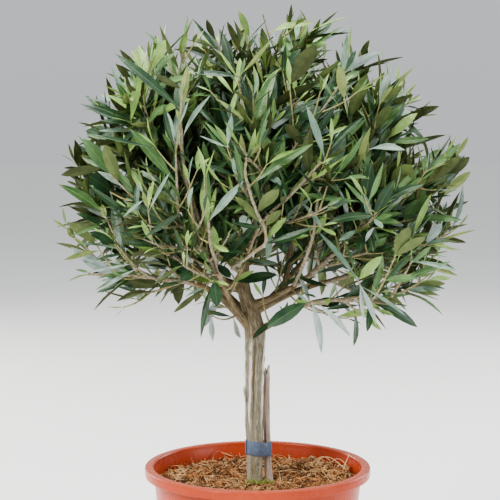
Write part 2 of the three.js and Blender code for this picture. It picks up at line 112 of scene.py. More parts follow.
class Finish:
    """A surface finish being mixed: a material, with short calls to add a node and join its sockets."""

    def __init__(self, name, colour, roughness, **shader):
        self.material = bpy.data.materials.new(name)
        self.material.use_nodes = True
        self.tree = self.material.node_tree
        self.shader = self.tree.nodes["Principled BSDF"]
        self.shader.inputs["Base Color"].default_value = (*colour, 1)
        self.shader.inputs["Roughness"].default_value = roughness
        for socket, value in shader.items():
            self.shader.inputs[socket.replace("_", " ")].default_value = value
        self.height = None

    def add(self, kind, **settings):
        node = self.tree.nodes.new(kind)
        for key, value in settings.items():
            setattr(node, key, value)
        return node

    def join(self, output, socket):
        self.tree.links.new(output, socket)

    def measured(self, attribute, output="Fac"):
        """What the piece's own points say, such as how far a ridge stands out."""
        return self.add("ShaderNodeAttribute", attribute_name=attribute).outputs[output]

    def place(self, stretch=(1, 1, 1), along=None):
        """Where a pattern lies: on the object's own coordinates in metres, or on a measured place."""
        if along:
            start = self.measured(along, "Vector")
        else:
            start = self.add("ShaderNodeTexCoord").outputs["Object"]
        mapping = self.add("ShaderNodeMapping")
        mapping.inputs["Scale"].default_value = stretch
        self.join(start, mapping.inputs["Vector"])
        return mapping.outputs["Vector"]

    def mottle(self, size, detail, stretch=(1, 1, 1), along=None, rough=0.55):
        """Soft patches about as wide as size, in metres: 0 to 1."""
        pattern = self.add("ShaderNodeTexNoise")
        pattern.inputs["Scale"].default_value = 1 / size
        pattern.inputs["Detail"].default_value = detail
        pattern.inputs["Roughness"].default_value = rough
        self.join(self.place(stretch, along), pattern.inputs["Vector"])
        return pattern.outputs["Fac"]

    def ramp(self, share, *stops):
        """Colours or greys along a pattern: each stop is its place and its colour."""
        ramp = self.add("ShaderNodeValToRGB")
        while len(ramp.color_ramp.elements) < len(stops):
            ramp.color_ramp.elements.new(0.5)
        for element, (place, colour) in zip(ramp.color_ramp.elements, stops):
            element.position = place
            element.color = (*colour, 1) if isinstance(colour, tuple) else (colour, colour, colour, 1)
        self.join(share, ramp.inputs["Fac"])
        return ramp.outputs["Color"]

    def level(self, low, high):
        """0 below one height and 1 above another, in metres."""
        split = self.add("ShaderNodeSeparateXYZ")
        self.join(self.place(), split.inputs[0])
        rise = self.add("ShaderNodeMapRange")
        rise.inputs["From Min"].default_value = low
        rise.inputs["From Max"].default_value = high
        self.join(split.outputs["Z"], rise.inputs["Value"])
        return rise.outputs["Result"]

    def patches(self, size, detail, *stops):
        """A soft pattern in the colours or greys of its stops."""
        return self.ramp(self.mottle(size, detail), *stops)

    def mix(self, share, under, over):
        """over laid on under, by a share from 0 to 1. Each is a socket, a colour or a number."""
        mixer = self.add("ShaderNodeMix", data_type="RGBA")
        for socket, value in ((mixer.inputs[0], share), (mixer.inputs[6], under), (mixer.inputs[7], over)):
            if isinstance(value, bpy.types.NodeSocket):
                self.join(value, socket)
            else:
                socket.default_value = (*value, 1) if isinstance(value, tuple) else value
        return mixer.outputs[2]

    def laid(self, under, over, pattern, *stops):
        """over laid on under along a pattern: each stop is its place and how much of over shows there."""
        return self.mix(self.ramp(pattern, *stops), under, over)

    def tint(self, colour):
        self.join(colour, self.shader.inputs["Base Color"])

    def shine(self, roughness):
        self.join(roughness, self.shader.inputs["Roughness"])

    def relief(self, pattern, depth):
        """Raises the surface by a pattern, depth in metres; a later call lies over an earlier one."""
        bump = self.add("ShaderNodeBump")
        bump.inputs["Strength"].default_value = 1
        bump.inputs["Distance"].default_value = depth
        self.join(pattern, bump.inputs["Height"])
        if self.height:
            self.join(self.height, bump.inputs["Normal"])
        self.height = bump.outputs["Normal"]
        self.join(self.height, self.shader.inputs["Normal"])


camera = new_object("camera", bpy.data.cameras.new("camera"))
camera.data.lens = LENS["lens"]
camera.data.sensor_width = LENS["sensor_width"]
camera.location = EYE
camera.rotation_euler = (math.radians(90 - LOOK_DOWN), 0, 0)
scene.camera = camera

floor_mesh = bmesh.new()
bmesh.ops.create_circle(floor_mesh, cap_ends=True, radius=FLOOR_RADIUS, segments=96)
floor = poured("floor", floor_mesh)
floor_finish = Finish("pale_floor", (0.8, 0.8, 0.79), 0.8)
floor_finish.tint(floor_finish.patches(0.4, 3, (0.3, (0.79, 0.79, 0.78)), (0.7, (0.81, 0.81, 0.8))))
dress(floor, floor_finish)

scene.world = bpy.data.worlds.new("studio")
scene.world.use_nodes = True
sky = scene.world.node_tree
sky_ramp = sky.nodes.new("ShaderNodeValToRGB")
for element, grey in zip(sky_ramp.color_ramp.elements, SKY_GREYS):
    element.color = (grey, 1.02 * grey, 1.04 * grey, 1)
sky_height = sky.nodes.new("ShaderNodeSeparateXYZ")
sky.links.new(sky.nodes.new("ShaderNodeTexCoord").outputs["Generated"], sky_height.inputs[0])
sky.links.new(sky_height.outputs["Z"], sky_ramp.inputs["Fac"])
sky.links.new(sky_ramp.outputs["Color"], sky.nodes["Background"].inputs["Color"])
sky.nodes["Background"].inputs["Strength"].default_value = SKY_STRENGTH
scene.view_settings.look = "AgX - Medium High Contrast"

CROWN_MIDDLE = Vector((0, 0, 0.36))
for name, (place, size, watts, colour) in LAMPS.items():
    lamp = new_object(name, bpy.data.lights.new(name, "AREA"))
    lamp.data.size = size
    lamp.data.energy = watts
    lamp.data.color = colour
    lamp.location = place
    lamp.rotation_euler = (CROWN_MIDDLE - Vector(place)).to_track_quat("-Z", "Y").to_euler()


# ---------------------------------------------------------------- pot
# A round nursery pot, injection moulded in terracotta-coloured polypropylene: a tapered wall under a
# rolled lip with a hanging skirt, a flat floor, and drain slots where the wall meets the floor.
POT_HEIGHT = 168 * MM
RIM_RADIUS = 100 * MM
RIM_WALL = 1.7 * MM
RIM_DROP = 8.5 * MM
WALL_TOP_RADIUS = 93.2 * MM
WALL_FOOT_RADIUS = 74 * MM
POT_WALL = 1.6 * MM
POT_FLOOR = 2.4 * MM
LIP_ROUND = 1.7 * MM
LIP_INNER_ROUND = 2.2 * MM
LIP_FALL = 0.4 * MM  # the lip's top slopes down this much towards its outer edge
POT_AROUND = 192
DRAIN_COUNT = 8
DRAIN = {"width": 14 * MM, "height": 7 * MM, "depth": 16 * MM}


def skin(name, rings, closed=False, capped=True):
    """A mesh laid over rings of points, capped at both ends, or joined end to end when closed."""
    rings = np.asarray(rings, float)
    count, around = rings.shape[:2]
    vertices = [tuple(p) for p in rings.reshape(-1, 3)]
    faces = []
    for ring in range(count if closed else count - 1):
        low, high = ring * around, (ring + 1) % count * around
        for i in range(around):
            j = (i + 1) % around
            faces.append((low + i, low + j, high + j, high + i))
    if capped and not closed:
        for ring, turn in ((0, -1), (count - 1, 1)):
            middle = len(vertices)
            vertices.append(tuple(rings[ring].mean(0)))
            start = ring * around
            for i in range(around):
                pair = (start + i, start + (i + 1) % around)
                faces.append((*pair[::turn], middle))
    mesh = bpy.data.meshes.new(name)
    mesh.from_pydata(vertices, [], faces)
    mesh.shade_smooth()
    return new_object(name, mesh)


def round_angles(count):
    return np.linspace(0, 2 * np.pi, count, endpoint=False)


def level_ring(radius, height, around):
    angles = round_angles(around)
    return np.column_stack((radius * np.cos(angles), radius * np.sin(angles), np.full(around, height)))


def corner(at, radius, start, end, steps=6):
    """The points of a rounded corner, from one angle in degrees to another."""
    angles = np.radians(np.linspace(start, end, steps))
    return [(at[0] + radius * math.cos(a), at[1] + radius * math.sin(a)) for a in angles]


def wall_at(height):
    return WALL_FOOT_RADIUS + (WALL_TOP_RADIUS - WALL_FOOT_RADIUS) * height / POT_HEIGHT


def pot_profile():
    """(radius, height) points from the underside's middle, over the lip, to the middle of the floor."""
    top = POT_HEIGHT
    under_lip = top - LIP_ROUND - 0.6 * MM
    foot_round = 2 * MM
    inner = wall_at(top) - POT_WALL
    skirt_foot = top - RIM_DROP
    edge = 0.5 * RIM_WALL
    return [
        (0.5 * MM, 0),
        (WALL_FOOT_RADIUS - 3 * foot_round, 0),
        *corner((WALL_FOOT_RADIUS - foot_round, foot_round), foot_round, -90, -6),
        (wall_at(8 * MM), 8 * MM),
        *[(wall_at(h), h) for h in np.linspace(0.1 * top, under_lip - 1.5 * MM, 12)],
        *corner((wall_at(under_lip) + 1.5 * MM, under_lip - 1.5 * MM), 1.5 * MM, 180, 90, 4),
        *corner((RIM_RADIUS - RIM_WALL - 1.2 * MM, under_lip - 1.2 * MM), 1.2 * MM, 90, 0, 4),
        (RIM_RADIUS - RIM_WALL, skirt_foot + edge * 1.4),
        *corner((RIM_RADIUS - edge - 0.1 * MM, skirt_foot + edge), edge, 180, 360, 7),
        (RIM_RADIUS - 0.05 * MM, skirt_foot + edge * 1.8),
        *corner((RIM_RADIUS - LIP_ROUND, top - LIP_FALL - LIP_ROUND), LIP_ROUND, 0, 78, 8),
        *corner((inner + LIP_INNER_ROUND + 0.3 * MM, top - LIP_INNER_ROUND), LIP_INNER_ROUND, 84, 172, 7),
        (inner, top - 2 * LIP_INNER_ROUND),
        *[(wall_at(h) - POT_WALL, h) for h in np.linspace(top - 6 * MM, POT_FLOOR + 3 * MM, 12)],
        *corner((wall_at(POT_FLOOR) - POT_WALL - 2.5 * MM, POT_FLOOR + 2.5 * MM), 2.5 * MM, -8, -90),
        (0.5 * MM, POT_FLOOR),
    ]


def boxes(name, size, places):
    """Several like boxes in one mesh, each at its own matrix."""
    made = bmesh.new()
    for place in places:
        bmesh.ops.create_cube(made, size=1, matrix=place @ Matrix.Diagonal((*size, 1)))
    return poured(name, made)


def applied(piece):
    """The piece with its modifiers worked out into a plain mesh."""
    depsgraph = bpy.context.evaluated_depsgraph_get()
    evaluated = piece.evaluated_get(depsgraph)
    mesh = bpy.data.meshes.new_from_object(evaluated, preserve_all_data_layers=True, depsgraph=depsgraph)
    name = piece.name
    bpy.data.objects.remove(piece)
    mesh.name = name
    return new_object(name, mesh)


pot = skin("nursery_pot", [level_ring(radius, height, POT_AROUND) for radius, height in pot_profile()])
slot_turns = [Matrix.Rotation(2 * math.pi * (i + 0.5) / DRAIN_COUNT, 4, "Z") for i in range(DRAIN_COUNT)]
slot_places = [turn @ Matrix.Translation((WALL_FOOT_RADIUS, 0, 0)) for turn in slot_turns]
slot_size = (DRAIN["depth"], DRAIN["width"], DRAIN["height"] * 2)
slots = boxes("slots", slot_size, slot_places)
cut = pot.modifiers.new("slots", "BOOLEAN")
cut.operation = "DIFFERENCE"
cut.object = slots
pot = applied(pot)
bpy.data.objects.remove(slots)
for polygon in pot.data.polygons:
    polygon.use_smooth = True
pot.data.set_sharp_from_angle(angle=math.radians(38))

plastic = Finish("terracotta_plastic", (0.46, 0.065, 0.023), 0.3, Specular_IOR_Level=0.22)
body = plastic.patches(0.05, 4, (0.3, (0.42, 0.062, 0.027)), (0.7, (0.485, 0.08, 0.036)))
body = plastic.laid(body, (0.62, 0.2, 0.1), plastic.mottle(0.02, 5), (0.55, 0.0), (0.85, 0.16))
# painted highlight: the top of the lip is laid paler, for the sky light that its rounded top catches
lip_painted_highlight = plastic.level(POT_HEIGHT - LIP_INNER_ROUND, POT_HEIGHT)
plastic.tint(plastic.laid(body, (0.66, 0.2, 0.12), lip_painted_highlight, (0.3, 0.0), (0.95, 0.4)))
plastic.shine(plastic.patches(0.008, 4, (0.3, 0.2), (0.75, 0.32)))
plastic.relief(plastic.mottle(0.0011, 3), 0.00002)
plastic.relief(plastic.mottle(0.03, 2), 0.0001)
dress(pot, plastic)
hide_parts("pot")
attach(pot, "root")


# ---------------------------------------------------------------- coir
# The pot is filled with potting mix and topped with loose coconut fibre: a dark crumbly bed under a mat
# of curly brown and straw-coloured strands, some of which stand up in loops near the rim.
SOIL_TOP = 151 * MM
SOIL_SWELL = 3 * MM
SOIL_FLAT = 24 * MM
SOIL_RINGS = 60
SOIL_AROUND = 160
CRUMB = 1.6 * MM  # how far the bed is broken up
CRUMB_SIZE = 4.5 * MM
NOISE_SEED = 4  # fixes how strands, moss and twigs wander, or they would follow the clock
STRAND_KINDS = 11
# curl: how far it turns aside at each step; pace: how soon that changes; held: its share up and down
STRAND = {"length": 19 * MM, "steps": 8, "curl": 0.95, "pace": 0.45, "held": 0.6}
STRAND_ENDS = 0.45  # how thick a strand is at its ends, beside its middle
STRAND_TILT = 0.55  # radians
PIECE_SCALES = (0.55, 1.25)  # smallest and largest of the strewn strands and moss leaves
BED_MIDDLE = 1 * MM  # radius of the bed's innermost ring
BED_GAP = 0.45 * MM  # between the bed and the pot
TUFT_SIZE = 8 * MM
TUFT_RISE = 3.4 * MM
BACK_HEAP = {"x": 60 * MM, "y": 30 * MM, "radius": 22 * MM, "rise": 6 * MM}
TRODDEN = (14 * MM, 30 * MM)  # round the trunk the fibres lie flat, and further out they stand up
TRODDEN_SHARE = 0.3  # how much of their height they keep there
MAT_MARGIN = 3 * MM  # how far inside the bed's edge the mats are strewn
MAT_GAP = 0.2 * MM  # how far inside it their strands are held
MAT_SINK = 5 * MM  # how far under the bed's level a strand may reach
MAT_UNDER_RIM = 4 * MM
# colour name: strands a square metre, thickness, seed, and how high they lie over the bed
MATS = {
    "coir_brown": (80000, 0.85 * MM, 3, 1.0 * MM),
    "coir_rust": (66000, 0.8 * MM, 8, 3.0 * MM),
    "coir_straw": (46000, 0.7 * MM, 5, 4.4 * MM),
}
# painted shade: a dark tone laid over the coir in broad random patches, for the shade in the mat's hollows
COIR_HOLLOW_SHADE = (0.09, 0.045, 0.02)
COIR_COLOURS = {
    "coir_brown": ((0.02, 0.008, 0.003), (0.22, 0.09, 0.034)),
    "coir_rust": ((0.34, 0.125, 0.037), (0.97, 0.49, 0.2)),
    "coir_straw": ((0.66, 0.36, 0.14), (1.0, 0.78, 0.47)),
}


def heaps(x, y):
    """How high the coir heaps up at a place, level at the foot of the trunk."""
    x, y = x / MM, y / MM
    away = np.clip((math.hypot(x, y) - SOIL_FLAT / MM) / (SOIL_FLAT / MM), 0, 1)
    away = away * away * (3 - 2 * away)
    swell = math.sin(x * 0.083 + 1.3) * math.cos(y * 0.071 - 0.4) + 0.5 * math.sin(x * 0.15 - y * 0.12)
    tuft = noise.fractal(Vector((x, y, 40)) * (MM / TUFT_SIZE), 0.8, 2.0, 2) * TUFT_RISE
    off_heap = math.hypot(x * MM - BACK_HEAP["x"], y * MM - BACK_HEAP["y"]) / BACK_HEAP["radius"]
    back_heap = BACK_HEAP["rise"] * math.exp(-off_heap * off_heap)
    return SOIL_TOP + away * (SOIL_SWELL * swell * 0.6 + tuft) + back_heap


def bed_rings(reach, rough=CRUMB):
    """Rings of points over the bed, from its edge to its middle."""
    rings = []
    for radius in np.linspace(reach, BED_MIDDLE, SOIL_RINGS):
        ring = []
        for a in round_angles(SOIL_AROUND):
            x, y = radius * math.cos(a), radius * math.sin(a)
            crumb = noise.fractal(Vector((x, y, 0)) / CRUMB_SIZE, 0.7, 2.1, 4) if rough else 0
            ring.append((x, y, heaps(x, y) + crumb * rough - 0.6 * rough))
        rings.append(ring)
    return rings


soil_reach = wall_at(SOIL_TOP - SOIL_SWELL) - POT_WALL - BED_GAP
soil_foot = wall_at(POT_FLOOR) - POT_WALL - BED_GAP
soil_floor = POT_FLOOR + 0.3 * MM
sides = ((BED_MIDDLE, soil_floor), (soil_foot, soil_floor), (soil_reach, SOIL_TOP - 6 * MM))
sides = [level_ring(radius, height, SOIL_AROUND) for radius, height in sides]
bed = skin("potting_mix", [*sides, *bed_rings(soil_reach)])

earth = Finish("potting_mix", (0.04, 0.022, 0.012), 0.95)
crumbs = earth.mottle(0.004, 5)
damp, peat, husk = (0.012, 0.007, 0.005), (0.04, 0.02, 0.01), (0.1, 0.05, 0.022)
earth.tint(earth.ramp(crumbs, (0.3, damp), (0.55, peat), (0.8, husk)))
earth.relief(crumbs, 0.0015)
dress(bed, earth)
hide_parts("coir_soil")
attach(bed, "root")


class Tree:
    """A Geometry Nodes tree with named inputs, which ends in Realize Instances and Set Material."""

    def __init__(self, name):
        self.tree = bpy.data.node_groups.new(name, "GeometryNodeTree")
        self.tree.interface.new_socket("Geometry", in_out="INPUT", socket_type="NodeSocketGeometry")
        self.tree.interface.new_socket("Geometry", in_out="OUTPUT", socket_type="NodeSocketGeometry")
        self.start = self.tree.nodes.new("NodeGroupInput")
        self.end = self.tree.nodes.new("NodeGroupOutput")

    def input(self, name, kind):
        self.tree.interface.new_socket(name, in_out="INPUT", socket_type="NodeSocket" + kind)
        return self.start.outputs[name]

    def add(self, kind, inputs=(), **settings):
        """A node with its settings, its input sockets joined or set by name or number."""
        node = self.tree.nodes.new(kind)
        for key, value in settings.items():
            setattr(node, key, value)
        for socket, value in dict(inputs).items():
            self.give(node.inputs[socket], value)
        return node

    def give(self, socket, value):
        if isinstance(value, bpy.types.NodeSocket):
            self.tree.links.new(value, socket)
        else:
            socket.default_value = value

    def attribute(self, name, kind):
        node = self.add("GeometryNodeInputNamedAttribute", {"Name": name}, data_type=kind)
        return node.outputs["Attribute"]

    def random(self, kind, low, high, seed):
        """A random value at each point, between low and high."""
        ending = {"FLOAT": "_001", "INT": "_002", "FLOAT_VECTOR": ""}[kind]
        node = self.add("FunctionNodeRandomValue", data_type=kind)
        sockets = {socket.identifier: socket for socket in node.inputs}
        for name, value in (("Min" + ending, low), ("Max" + ending, high), ("Seed", seed)):
            self.give(sockets[name], value)
        return next(output for output in node.outputs if output.enabled)

    def hung(self, points, kinds, pick, turned, size):
        """At each point one of a collection's pieces."""
        pieces = self.add("GeometryNodeCollectionInfo", {"Collection": kinds, "Separate Children": True})
        node = self.add(
            "GeometryNodeInstanceOnPoints",
            {
                "Points": points,
                "Instance": pieces.outputs["Instances"],
                "Pick Instance": True,
                "Instance Index": pick,
                "Rotation": turned,
                "Scale": size,
            },
        )
        return node.outputs["Instances"]

    def finish(self, geometry, materials):
        """Ends the tree. materials is a list of (material input, selection or None)."""
        made = self.add("GeometryNodeRealizeInstances", {"Geometry": geometry}).outputs["Geometry"]
        for material, selection in materials:
            painted = self.add("GeometryNodeSetMaterial", {"Geometry": made, "Material": material})
            if selection is not None:
                self.give(painted.inputs["Selection"], selection)
            made = painted.outputs["Geometry"]
        self.give(self.end.inputs["Geometry"], made)

    def make(self, name, source, values):
        """The plain mesh that the tree makes of source. values are given by its inputs' names."""
        modifier = source.modifiers.new(self.tree.name, "NODES")
        modifier.node_group = self.tree
        for item in self.tree.interface.items_tree:
            if item.in_out == "INPUT" and item.name in values:
                modifier[item.identifier] = values[item.name]
        source.name = name
        return applied(source)


noise.seed_set(NOISE_SEED)


def strand_kind(number):
    """One curly strand lying along X, as a bent strip with three sides."""
    steps, length, held = STRAND["steps"], STRAND["length"], STRAND["held"]
    way = Vector((1, 0, 0))
    point = Vector((-length / 2, 0, 0))
    rings = []
    for step in range(steps + 1):
        twist = noise.noise_vector(Vector((step * STRAND["pace"], number * 7.3, 1.7))) * STRAND["curl"]
        way = (way + Vector((twist.x * held, twist.y, twist.z * held))).normalized()
        side = way.cross(Vector((0, 0, 1))).normalized()
        over = side.cross(way)
        thin = STRAND_ENDS + (1 - STRAND_ENDS) * math.sin(math.pi * min(max(step / steps, 0.04), 0.96))
        turns = [2 * math.pi * i / 3 for i in range(3)]
        rings.append([point + (side * math.cos(a) + over * math.sin(a)) * thin * 0.5 for a in turns])
        point = point + way * (length / steps)
    return rings


def strand_object(number, thickness):
    rings = np.array([[tuple(p) for p in ring] for ring in strand_kind(number)])
    middles = rings.mean(1, keepdims=True)
    return skin(f"strand_{number}", middles + (rings - middles) * thickness)


scatter = Tree("scatter")
density = scatter.input("Density", "Float")
scatter_seed = scatter.input("Seed", "Int")
lift = scatter.input("Lift", "Float")
tilt = scatter.input("Tilt", "Float")
kinds = scatter.input("Kinds", "Collection")
kind_count = scatter.input("Kind count", "Int")
scatter_material = scatter.input("Material", "Material")
spots = scatter.add(
    "GeometryNodeDistributePointsOnFaces",
    {"Mesh": scatter.start.outputs["Geometry"], "Density": density, "Seed": scatter_seed},
)
lean = scatter.add("ShaderNodeCombineXYZ", {"X": tilt, "Y": tilt, "Z": math.pi})
lean_back = scatter.add("ShaderNodeVectorMath", {0: lean.outputs[0], 1: (-1, -1, -1)}, operation="MULTIPLY")
raised = scatter.add("ShaderNodeCombineXYZ", {"Z": scatter.random("FLOAT", 0.0, lift, 3)})
lifted = scatter.add(
    "GeometryNodeSetPosition", {"Geometry": spots.outputs["Points"], "Offset": raised.outputs[0]}
)
strewn = scatter.hung(
    lifted.outputs["Geometry"],
    kinds,
    scatter.random("INT", 0, kind_count, 4),
    scatter.random("FLOAT_VECTOR", lean_back.outputs[0], lean.outputs[0], 5),
    scatter.random("FLOAT", *PIECE_SCALES, 6),
)
scatter.finish(strewn, [(scatter_material, None)])


def strewed(name, bed, pieces, per_area, seed, rise, lean, finish):
    """Small pieces strewn over a bed: how many a square metre, how high over it and how far they lean."""
    values = {"Density": per_area, "Seed": seed, "Lift": rise, "Tilt": lean, "Kinds": pieces}
    values |= {"Kind count": len(pieces.objects) - 1, "Material": finish.material}
    return scatter.make(name, bed, values)


def points_of(piece, what="co"):
    values = np.empty(len(piece.data.vertices) * 3, np.float32)
    piece.data.vertices.foreach_get(what, values)
    return values.reshape(-1, 3)


def set_points(piece, points):
    piece.data.vertices.foreach_set("co", points.astype(np.float32).ravel())
    piece.data.update()


def hold_in(piece, reach, low, high):
    """Presses a piece's points back inside the pot: within its wall and between two heights."""
    points = points_of(piece)
    away = np.hypot(points[:, 0], points[:, 1])
    points[:, :2] *= np.minimum(1, reach / np.maximum(away, 1e-6))[:, None]
    points[:, 2] = np.clip(points[:, 2], low, high)
    set_points(piece, points)


def trodden(piece):
    """Presses a mat's points down on to the bed round the foot of the trunk."""
    points = points_of(piece).astype(float)
    away = np.hypot(points[:, 0], points[:, 1])
    stands = np.clip((away - TRODDEN[0]) / (TRODDEN[1] - TRODDEN[0]), 0, 1)
    kept = TRODDEN_SHARE + (1 - TRODDEN_SHARE) * stands
    over = points[:, 2] - SOIL_TOP
    points[:, 2] = np.where(over > 0, SOIL_TOP + over * kept, points[:, 2])
    set_points(piece, points)


def kept_apart(name, objects):
    """A collection of the small pieces that a tree picks from, kept out of the scene."""
    group = bpy.data.collections.new(name)
    for piece in objects:
        scene.collection.objects.unlink(piece)
        group.objects.link(piece)
    return group


def cleared(group):
    for piece in list(group.objects):
        bpy.data.objects.remove(piece)
    bpy.data.collections.remove(group)


mat_reach = soil_reach - MAT_GAP
for name, (per_area, thickness, seed, rise) in MATS.items():
    strands = kept_apart("strands", [strand_object(i + seed * 10, thickness) for i in range(STRAND_KINDS)])
    dark, light = COIR_COLOURS[name]
    fibre = Finish(name, light, 0.85)
    tone = fibre.patches(0.006, 3, (0.3, dark), (0.7, light))
    # painted shade, laid in broad random patches over the fibres
    fibre.tint(fibre.laid(tone, COIR_HOLLOW_SHADE, fibre.mottle(0.014, 3), (0.5, 0.0), (0.64, 0.7)))
    fibre.relief(fibre.mottle(0.0006, 2), 0.0001)
    mat_bed = skin("mat_bed", bed_rings(soil_reach - MAT_MARGIN, rough=0), capped=False)
    mat = strewed(name, mat_bed, strands, per_area, seed, rise, STRAND_TILT, fibre)
    cleared(strands)
    trodden(mat)
    hold_in(mat, mat_reach, SOIL_TOP - MAT_SINK, POT_HEIGHT - MAT_UNDER_RIM)
    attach(mat, "root")


# ---------------------------------------------------------------- standing fibres and moss
# Some of the coconut fibres are long and springy: they rise out of the mat in loose arcs, most of them at
# the right, and run back into it. A little moss has grown over the coir at the foot of the trunk.
ARC_COUNT = 26
ARC_SPAN = (14 * MM, 36 * MM)
ARC_RISE = (3 * MM, 9 * MM)
ARC_POINTS = 16
ARC_THICKNESS = (0.2 * MM, 0.55 * MM)
ARC_WANDER = 3 * MM
ARC_SEED = 21
ARCS_AT_RIGHT = 0.85  # share of them
ARC_RIGHT = (0, 60)  # degrees round the pot
ARC_AWAY = (52, 80)  # millimetres from its middle
ARC_SKEW = 0.9  # how far one runs off the way round the pot, in radians
ARC_OVER_RIM = 6 * MM
MOSS_BLADES = 4
MOSS_HEIGHT = 4.8 * MM
MOSS_DENSITY = 900000  # blades a square metre
MOSS_SEED = 2
MOSS_RISE = 0.8 * MM
MOSS_TILT = 0.7
MOSS_SWAY = 2.6  # millimetres that a leaf of it bends over at its tip
MOSS_HALF = 0.5 * MM  # half its width
MOSS_OVAL = 0.6  # a patch's depth beside its width
MOSS_OFF_BED = 0.6 * MM
MOSS_AROUND = 20
# where each patch of moss lies, and its radius
MOSS_PATCHES = {
    "moss_front": (-5.5 * MM, -10.5 * MM, 5.5 * MM),
    "moss_side": (7 * MM, -10 * MM, 7.5 * MM),
}
# the longest fibres, each where it leaves the mat, where it bends most and where it ends, with heights
# above the coir, in millimetres: a straw that stands up, and loops over the heap at the back
LONG_FIBRES = (
    ((76, 18, 2), (79, 22, 14), (86, 32, 22)),
    ((52, 28, 6), (60, 34, 28), (80, 14, 7)),
    ((47, 36, 5), (62, 44, 24), (70, 30, 6)),
    ((66, 34, 8), (74, 40, 20), (82, 20, 8)),
    ((60, 4, 3), (70, 12, 16), (76, 2, 4)),
)

rods = Tree("rods")
rod_sides = rods.input("Sides", "Int")
rod_material = rods.input("Material", "Material")
rod_lines = rods.add("GeometryNodeMeshToCurve", {"Mesh": rods.start.outputs["Geometry"]})
rod_section = rods.add(
    "GeometryNodeCurvePrimitiveCircle", {"Resolution": rod_sides, "Radius": 1.0}, mode="RADIUS"
)
rod_skin = rods.add(
    "GeometryNodeCurveToMesh",
    {
        "Curve": rod_lines.outputs["Curve"],
        "Profile Curve": rod_section.outputs["Curve"],
        "Scale": rods.attribute("thickness", "FLOAT"),
        "Fill Caps": True,
    },
)
rod_smooth = rods.add("GeometryNodeSetShadeSmooth", {"Geometry": rod_skin.outputs["Mesh"]})
rods.finish(rod_smooth.outputs["Geometry"], [(rod_material, None)])


def measure(piece, name, values):
    """Writes a number or a vector at each of a piece's points, for its finish or a tree to read."""
    values = np.asarray(values)
    whole = values.dtype.kind == "i"
    kind, key = ("FLOAT_VECTOR", "vector") if values.ndim > 1 else ("INT" if whole else "FLOAT", "value")
    layer = piece.data.attributes.new(name, kind, "POINT")
    layer.data.foreach_set(key, values.astype(np.int32 if whole else np.float32).ravel())


def wires(name, lines):
    """Bare lines in one mesh. Each line is its points and its radius at each point, in metres."""
    points = np.concatenate([line for line, _ in lines])
    radii = np.concatenate([radius for _, radius in lines])
    edges = []
    start = 0
    for line, _ in lines:
        edges += [(start + i, start + i + 1) for i in range(len(line) - 1)]
        start += len(line)
    mesh = bpy.data.meshes.new(name)
    mesh.from_pydata(points.tolist(), edges, [])
    piece = new_object(name, mesh)
    measure(piece, "thickness", radii)
    return piece


def spring_arc(chance):
    """One fibre that rises out of the mat and runs back into it."""
    at_right = chance.random() < ARCS_AT_RIGHT
    around = math.radians(chance.uniform(*(ARC_RIGHT if at_right else (0, 360))))
    away = chance.uniform(*ARC_AWAY) * MM
    runs = around + math.pi / 2 + chance.uniform(-ARC_SKEW, ARC_SKEW)
    span, rise = chance.uniform(*ARC_SPAN), chance.uniform(*ARC_RISE)
    phase = chance.uniform(0, 100)
    line = []
    for share in np.linspace(0, 1, ARC_POINTS):
        wander = noise.noise_vector(Vector((share * 2.2, phase, 0))) * ARC_WANDER
        x = away * math.cos(around) + (share - 0.5) * span * math.cos(runs) + wander.x
        y = away * math.sin(around) + (share - 0.5) * span * math.sin(runs) + wander.y
        line.append((x, y, heaps(x, y) - 1 * MM + rise * math.sin(math.pi * share) + wander.z * share))
    thick = ARC_THICKNESS[0] + (ARC_THICKNESS[1] - ARC_THICKNESS[0]) * chance.random() ** 2
    radii = thick * (1 - 0.4 * np.abs(np.linspace(-1, 1, ARC_POINTS)))
    return np.array(line), radii


def long_fibre(leaves, over, ends):
    """A long fibre through a bend, from given places above the coir."""
    start, middle, end = (np.array((x, y, SOIL_TOP / MM + z)) * MM for x, y, z in (leaves, over, ends))
    shares = np.linspace(0, 1, ARC_POINTS)[:, None]
    line = (1 - shares) ** 2 * start + 2 * shares * (1 - shares) * middle + shares**2 * end
    return line, ARC_THICKNESS[1] * (1.1 - 0.4 * shares[:, 0])


arc_chance = random.Random(ARC_SEED)
straw = Finish("springy_fibre", (0.75, 0.5, 0.26), 0.7)
straw.tint(straw.patches(0.008, 3, (0.3, (0.5, 0.27, 0.11)), (0.7, (0.85, 0.62, 0.36))))
fibres = [spring_arc(arc_chance) for _ in range(ARC_COUNT)] + [long_fibre(*fibre) for fibre in LONG_FIBRES]
arc_lines = wires("arc_lines", fibres)
arcs = rods.make("coir_arcs", arc_lines, {"Sides": 4, "Material": straw.material})
hold_in(arcs, mat_reach - 0.5 * MM, SOIL_TOP - MAT_SINK, POT_HEIGHT + ARC_OVER_RIM)
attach(arcs, "root")


def moss_blade(number):
    """One curled little moss leaf standing along Z."""
    rings = []
    for share in np.linspace(0, 1, 5):
        sway = noise.noise_vector(Vector((share * 1.6, number * 5.1, 3.3))) * MOSS_SWAY * MM * share
        point = Vector((sway.x, sway.y, share * MOSS_HEIGHT))
        wide = MOSS_HALF * math.sin(math.pi * (0.12 + 0.8 * share))
        rings.append([(point.x + wide * math.cos(a), point.y + 0.5 * wide * math.sin(a), point.z)
                      for a in (0, math.pi / 2, math.pi, 3 * math.pi / 2)])
    return skin(f"moss_blade_{number}", rings)


